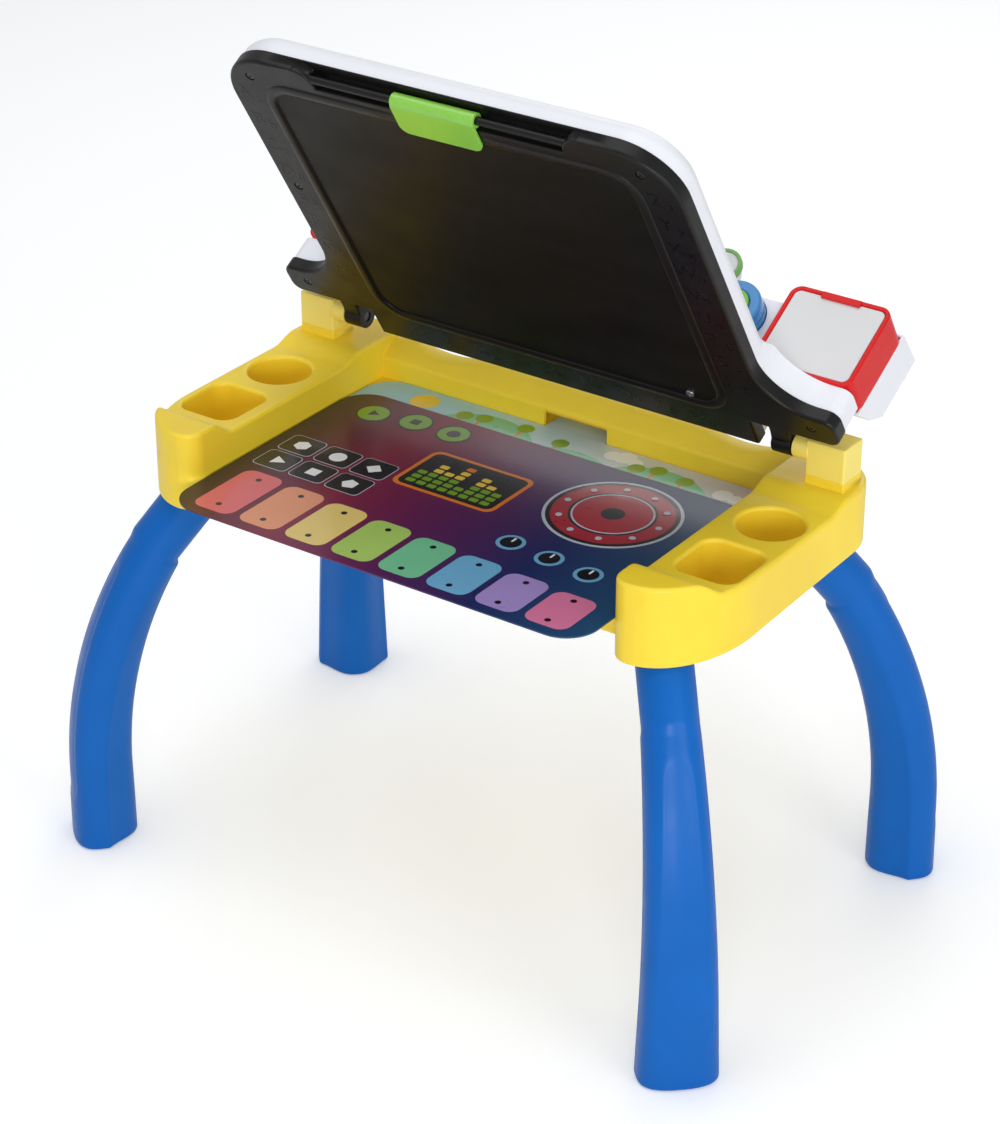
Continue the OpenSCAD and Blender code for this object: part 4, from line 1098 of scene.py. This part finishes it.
# %% [markdown]
# ## The print on the music card
#
# The upper card is a play surface for sounds. Its print here is a plain one: eight chime bars
# along the front, a large drum, a small level display, three round buttons, six tiles and three
# knobs. Shapes that lie on one another are set on rising levels, so that no two faces coincide.

# %% Tools for print
INK = 0.12
INK_SUNK = 0.02
INK_STEP = 0.08
CARD_TOP = card_high.z / MM - INK_SUNK


def on_card(x, y, level=0):
    return (x, y, CARD_TOP + level * INK_STEP)


def ring_of(count, radius):
    """Places round a circle about the origin."""
    turns = [math.tau * step / count for step in range(count)]
    return [(radius * math.cos(turn), radius * math.sin(turn)) for turn in turns]


def dot(radius, place, sides=48, turn=0):
    """A printed disc, or a printed shape with that many sides."""
    return disc("dot", radius, INK, place, sides, turn)


def patch(width, length, place, corner, segments=5):
    """A printed rectangle with round corners."""
    return slab("patch", (width, length, INK), place, corner, segments)


def dots(radius, places, level=0):
    return [dot(radius, on_card(*place, level)) for place in places]


def signs(radius, places, sides, turns):
    rows = zip(places, sides, turns)
    return [dot(radius, on_card(*place, 2), count, turn) for place, count, turn in rows]


def printed(name, body, slot, colour, parts):
    hand_over(joined(name, parts), body, slot, finish=inks[colour])


def music(name, colour, parts):
    printed("music_" + name, "music_card", "card_dark", colour, parts)


# %% Print the chimes and the drum
CHIMES = ["rose", "peach", "sand", "lime", "mint", "sky", "lilac", "pink"]
CHIME_W = 36
CHIME_PITCH = 42
CHIME_FRONT = -157
pins = []
for number, colour in enumerate(CHIMES):
    length = 68 - 3 * number
    x = (number - 3.5) * CHIME_PITCH
    y = CHIME_FRONT + length / 2
    music("chime_" + colour, colour, [patch(CHIME_W, length, on_card(x, y), 9)])
    for end in (-0.34, 0.34):
        pins.append(dot(2.4, on_card(x, y + end * length, 1), 20))
music("chime_pins", "night", pins)

DRUM = (98, 6)
DRUM_RINGS = [
    (52, "silver"), (49.5, "night"), (46, "red"), (33, "night"),
    (31, "silver"), (29.5, "red"), (9, "night"),
]
LUG_RING = ring_of(10, 39.5)
for level, (radius, colour) in enumerate(DRUM_RINGS):
    music("drum_%d" % level, colour, [dot(radius, on_card(*DRUM, level), 72)])
lugs = [dot(2.6, on_card(DRUM[0] + x, DRUM[1] + y, 7), 20) for x, y in LUG_RING]
music("drum_lugs", "silver", lugs)

# %% Print the level display
SCREEN = (-22, -14)
music("screen_rim", "orange", [patch(92, 62, on_card(*SCREEN), 8)])
music("screen", "night", [patch(85, 55, on_card(*SCREEN, 1), 6)])
cells = {"leaf": [], "sun": [], "orange": []}
for column, tall in enumerate((3, 5, 4, 6, 2, 5, 4, 3)):
    for row in range(tall):
        colour = "leaf" if row < 3 else "sun" if row < 5 else "orange"
        place = on_card(SCREEN[0] + (column - 3.5) * 9.6, SCREEN[1] - 20 + row * 7.6, 2)
        cells[colour].append(patch(7.4, 5.4, place, 1.2, 2))
for colour, parts in cells.items():
    music("level_" + colour, colour, parts)

# %% Print the buttons, the tiles and the knobs
BUTTONS = [(-146, 40), (-110, 46), (-74, 46)]
music("button_rims", "night", dots(14.5, BUTTONS))
music("buttons", "leaf", dots(12.5, BUTTONS, 1))
music("button_signs", "night", signs(5.5, BUTTONS, (3, 4, 32), (-90, 45, 0)))

TILES = [(-156 + 34 * column, -66 + 30 * row) for row in range(2) for column in range(3)]
music("tile_rims", "silver", [patch(31, 27, on_card(x, y), 4.4) for x, y in TILES])
music("tiles", "night", [patch(29.8, 25.8, on_card(x, y, 1), 4) for x, y in TILES])
music("tile_marks", "cloud", signs(7, TILES, (3, 4, 5, 6, 32, 4), (-90, 45, 90, 0, 0, 0)))

KNOBS = [(62, -72), (98, -76), (134, -80)]
music("knobs", "sky", dots(11, KNOBS))
music("knob_caps", "night", dots(8, KNOBS, 1))
music("knob_ticks", "cloud", [patch(1.6, 6, on_card(x, y + 4, 2), 0.6, 2) for x, y in KNOBS])

# %% [markdown]
# The lower card shows only as a strip behind the upper one until that is drawn out. It has a
# plain landscape: hills, a sun, clouds, a pond and round trees.

# %% Print the picture card
PICTURE_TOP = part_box("picture_card")[1].z / MM - INK_SUNK
THIN = 0.06
THIN_STEP = 0.04
SPOT_STEP = 0.003


def picture(name, colour, parts):
    printed("picture_" + name, "picture_card", "card_light", colour, parts)


def spots(places, level=0):
    """Thin discs from rows of x, y and radius."""
    parts = []
    for number, (x, y, radius) in enumerate(places):
        height = PICTURE_TOP + level * THIN_STEP + number * SPOT_STEP
        parts.append(disc("spot", radius, THIN, (x, y, height)))
    return parts


picture("far_hills", "mint", spots([(-60, 40, 52), (96, 34, 56), (20, 20, 58)]))
picture("near_hills", "meadow", spots([(-122, -4, 54), (10, -30, 70), (126, -40, 52)], 1))
picture("pond", "sky", spots([(-40, -84, 34), (6, -92, 26)], 2))
picture("sun", "sun", spots([(-128, 82, 12)], 1))
picture("clouds", "cloud", spots([(44, 88, 7), (54, 90, 9), (65, 87, 6), (146, 80, 8), (157, 79, 6)], 1))
TREES = [(-88, 70), (-72, 74), (-36, 78), (0, 72), (86, 76), (112, 72), (70, 70)]
picture("trunks", "orange", [
    slab("trunk", (2.4, 10, THIN), (x, y, PICTURE_TOP + THIN_STEP), 0.5, 2) for x, y in TREES
])
picture("trees", "leaf", spots([(x, y + 10, 7) for x, y in TREES], 2))

# %% [markdown]
# ## Letters on the frame
#
# A plain alphabet runs round the board, each capital with its small letter, in a gloss black
# that is only just darker than the frame. Blender's own letters are made into a mesh and laid on
# the face, which looks down when the lid lies flat. So each is turned over about the X axis.

# %% Set the letters
CAPITAL = 18
SMALL = 13
LETTER_HIGH = 0.25
SIDE_X = 174
FOOT_Y = -9


def sign_solid(sign, size, height):
    """A letter or a number as a thin closed solid, with its middle at the origin."""
    bpy.ops.object.select_all(action="DESELECT")
    bpy.ops.object.text_add()
    text = bpy.context.object
    text.data.body = sign
    text.data.size = size * MM
    text.data.extrude = height / 2 * MM
    text.data.align_x = "CENTER"
    text.data.align_y = "CENTER"
    bpy.ops.object.convert(target="MESH")
    part = bpy.context.object
    start_edit(part, everything=True)
    bpy.ops.mesh.remove_doubles(threshold=WELD)
    end_edit()
    look_outwards(part)
    return part


def letter(sign, x, y, tilt, size):
    part = sign_solid(sign, size, LETTER_HIGH)
    part.location = Vector((x, y, FACE)) * MM
    part.rotation_euler = (math.pi, 0, math.radians(tilt))
    return placed("letter_" + sign)


def letter_pair(sign, number, x, y):
    tilt = 5 if number % 2 else -5
    return [
        letter(sign, x - 5, y - 1, tilt, CAPITAL),
        letter(sign.lower(), x + 6, y + 2.5, tilt, SMALL),
    ]


letters = []
for number, sign in enumerate("ABCDEFGH"):
    letters += letter_pair(sign, number, -SIDE_X, -272 + 29 * number)
for number, sign in enumerate("IJKLMNOPQ"):
    letters += letter_pair(sign, number, -128 + 32 * number, FOOT_Y)
for number, sign in enumerate("RSTUVWXYZ"):
    letters += letter_pair(sign, number, SIDE_X, -66 - 25.4 * number)
alphabet = joined("alphabet", letters)
gloss_black = plastic("letter_black", linear(9, 11, 16), 0.24, grain=0.02, shine=0.3)
hand_over(onto_lid(alphabet), "lid", "frame_black", finish=gloss_black)

# %% [markdown]
# ## Screws
#
# The screws are pan heads with a cross. One is turned from a cylinder: its rim is rounded, and a
# cross of two bars is cut out of it. It is then copied to every place on the board's side.

# %% Make the screws
HEAD_R = 3.4
HEAD_HIGH = 2
SHANK_R = 1.5
SHANK_LONG = 14
HEAD_ROUND = 0.7
HEAD_SINK = 2.5
CROSS = ((0.9, 4.2, 1.0), (4.2, 0.9, 1.0))
CORNER_SCREW = (126, -37, -4.7, 20)


def cross_screw():
    """A screw that points up the Z axis from its head's underside, as the CAD screws do."""
    head = disc("screw", HEAD_R, HEAD_HIGH, (0, 0, -HEAD_HIGH), sides=32, ease=0.02)
    round_edges(head, HEAD_ROUND, lambda point: point.z < -HEAD_HIGH + 0.01, segments=3)
    for size in CROSS:
        bar = slab("bar", size, (0, 0, -HEAD_HIGH - 0.1), 0.2, 2)
        apply(head, "BOOLEAN", object=bar, operation="DIFFERENCE", solver="EXACT")
        bpy.data.objects.remove(bar)
    shank = disc("shank", SHANK_R, SHANK_LONG, (0, 0, -0.2), sides=20, ease=0.05)
    return joined("screw", [head, shank])


def copies(part, name, places):
    parts = []
    for x, y, z, turn in places:
        copy = twin(part, name)
        copy.location = Vector((x, y, z)) * MM
        copy.rotation_euler = (0, 0, math.radians(turn))
        parts.append(moved(copy))
    return joined(name, parts)


screw = cross_screw()
smooth(screw)
frame_screws = copies(screw, "frame_screws", [(x, y, FACE + HEAD_SINK, 31 * x) for x, y in LID_SCREWS])
hand_over(onto_lid(frame_screws), "lid", "screw_black", "lid_screws")
corner_screw = copies(screw, "corner_screw", [CORNER_SCREW])
hand_over(onto_lid(corner_screw), "lid", "steel", "board_screw")
bpy.data.objects.remove(screw)

# %% [markdown]
# ## Clip, console, handset and knobs
#
# These pieces have the right shapes in the CAD model already. Their outer edges are softened, each
# by a width that suits its size, and the smooth shading does the rest. Only the small lip over the
# light panel is new, and it is a slab.

# %% Shape the red lip
LIP_SIZE = (32, 1.8, 5.6)
LIP_AT = (202, -50.4, 93.2)

lip = slab("module_lip", LIP_SIZE, LIP_AT, 0.6, 3)
round_edges(lip, 0.5, everywhere, segments=3, sharper_than=60)
smooth(lip)
hand_over(onto_lid(lip), "lid", "console_red")

# %% Soften the clip and the console
LEDGE_FRONT = -48
LEDGE_BACK = -45
SOFTENED = [
    ("paper_clip", "clip_leaf", "clip", 0.5),
    ("clip_bar", "clip_rod", "lid", 0.5),
    ("console_shell", "console_back", "lid", 1.2),
    ("console_fascia", "console_front", "lid", 0.8),
    ("pad_frame", "light_module", "lid", 1.2),
    ("pad_panel", "light_panel", "lid", 0.4),
    ("speaker_frame", "sound_module", "lid", 1.2),
    ("speaker_grille", "sound_grille", "lid", 0.5),
    ("battery_door", "battery_lid", "lid", 0.5),
    ("handset_shell", "handset_front", "handset", 2.0),
    ("handset_back", "handset_rear", "handset", 1.0),
    ("handset_pads", "handset_ears", "handset", 0.4),
    ("dial_ring", "dial_rim", "dial", 0.7),
    ("dial_face", "dial_plate", "dial", 0.3),
    ("key_left", "red_key", "key_left", 0.7),
    ("key_middle", "yellow_key", "key_middle", 0.7),
    ("key_right", "blue_key", "key_right", 0.7),
    ("power_knob", "power_slider", "power_switch", 0.6),
]


def off_ledge(point):
    """Not on the thin ledge behind a module's window, where two bevels would meet."""
    return not LEDGE_FRONT < point.y < LEDGE_BACK


for node, name, body, width in SOFTENED:
    dress(node, name, body, width, off_ledge if name.endswith("_module") else everywhere)

# %% [markdown]
# ## The print on the desktop
#
# The touch panel carries plain numbers from one to ten, four shapes and a clock face. It is drawn
# for a child who sits at the front of the closed desk, so up is towards the hinge.

# %% Print the touch panel
PANEL_TOP = flat_box("touch_panel")[1].z - INK_SUNK
TOUCH_INKS = ["rose", "sand", "mint", "sky", "lilac"]


def on_panel(x, y, level=0):
    return (x, y, PANEL_TOP + level * INK_STEP)


def panel_print(name, colour, parts):
    part = onto_lid(joined("panel_" + name, parts))
    hand_over(part, "lid", "touch_print", finish=inks[colour])


def numeral(sign, x, y, size, level):
    part = sign_solid(sign, size, INK)
    part.location = Vector(on_panel(x, y, level)) * MM
    return placed("numeral_" + sign)


COUNTS = [(-135 + 30 * number, -270) for number in range(10)]
for number, colour in enumerate(TOUCH_INKS):
    tiles = [patch(27, 30, on_panel(*place), 5) for place in COUNTS[number::5]]
    panel_print("tiles_" + colour, colour, tiles)
numerals = [numeral(str(number + 1), *place, 17, 2) for number, place in enumerate(COUNTS)]
panel_print("numerals", "night", numerals)

CLOCK = (0, -165)
panel_print("clock_rim", "sky", [dot(62, on_panel(*CLOCK), 72)])
panel_print("clock_face", "cloud", [dot(56, on_panel(*CLOCK, 1), 72)])
HOUR_RING = [(CLOCK[0] + y, CLOCK[1] + x) for x, y in ring_of(12, 47)]
panel_print("clock_hours", "night", [dot(3.2, on_panel(*place, 2), 20) for place in HOUR_RING])
long_hand = patch(4, 36, on_panel(0, CLOCK[1] + 15, 2), 1.8, 3)
short_hand = patch(26, 5, on_panel(10, CLOCK[1], 3), 2.2, 3)
hub = dot(6, on_panel(*CLOCK, 4), 32)
panel_print("clock_hands", "red", [long_hand, short_hand, hub])

SHAPES = [
    (-118, -122, 3, "rose"), (-118, -206, 4, "sun"),
    (118, -122, 48, "leaf"), (118, -206, 6, "lilac"),
]
for x, y, sides, colour in SHAPES:
    turn = 45 if sides == 4 else 0
    panel_print("shape_%d" % sides, colour, [dot(30, on_panel(x, y), sides, turn)])

# %% [markdown]
# Each end of the handset has a ring of small sound holes on its pad. The holes are not cut: thin
# discs in a darkened pad green lie on the pad as painted shade where the holes are.

# %% Paint shade where the sound holes are
HOLE_R = 1.0
HOLE_RINGS = ring_of(1, 0) + ring_of(6, 3.6) + ring_of(12, 7.2)
pads_low, pads_high = flat_box("handset_pads")
PAD_R = (pads_high.z - pads_low.z) / 2
hole_shades = []
for pad_x in (pads_low.x + PAD_R, pads_high.x - PAD_R):
    for x, z in HOLE_RINGS:
        hole_shade = disc("hole_shade", HOLE_R, INK, (0, 0, 0), sides=12)
        place = Vector((pad_x + x, pads_low.y + INK_SUNK, pads_low.z + PAD_R + z))
        hole_shade.data.transform(Matrix.Translation(place * MM) @ Matrix.Rotation(math.pi / 2, 4, "X"))
        hole_shades.append(hole_shade)
# Painted shade: a darkened pad green stands for the shade inside each hole.
hole_painted_shade = plastic("hole_painted_shade", linear(24, 44, 18), 0.7, shine=0.2)
hand_over(onto_lid(joined("sound_hole_shade", hole_shades)), "handset", "pad_green", finish=hole_painted_shade)
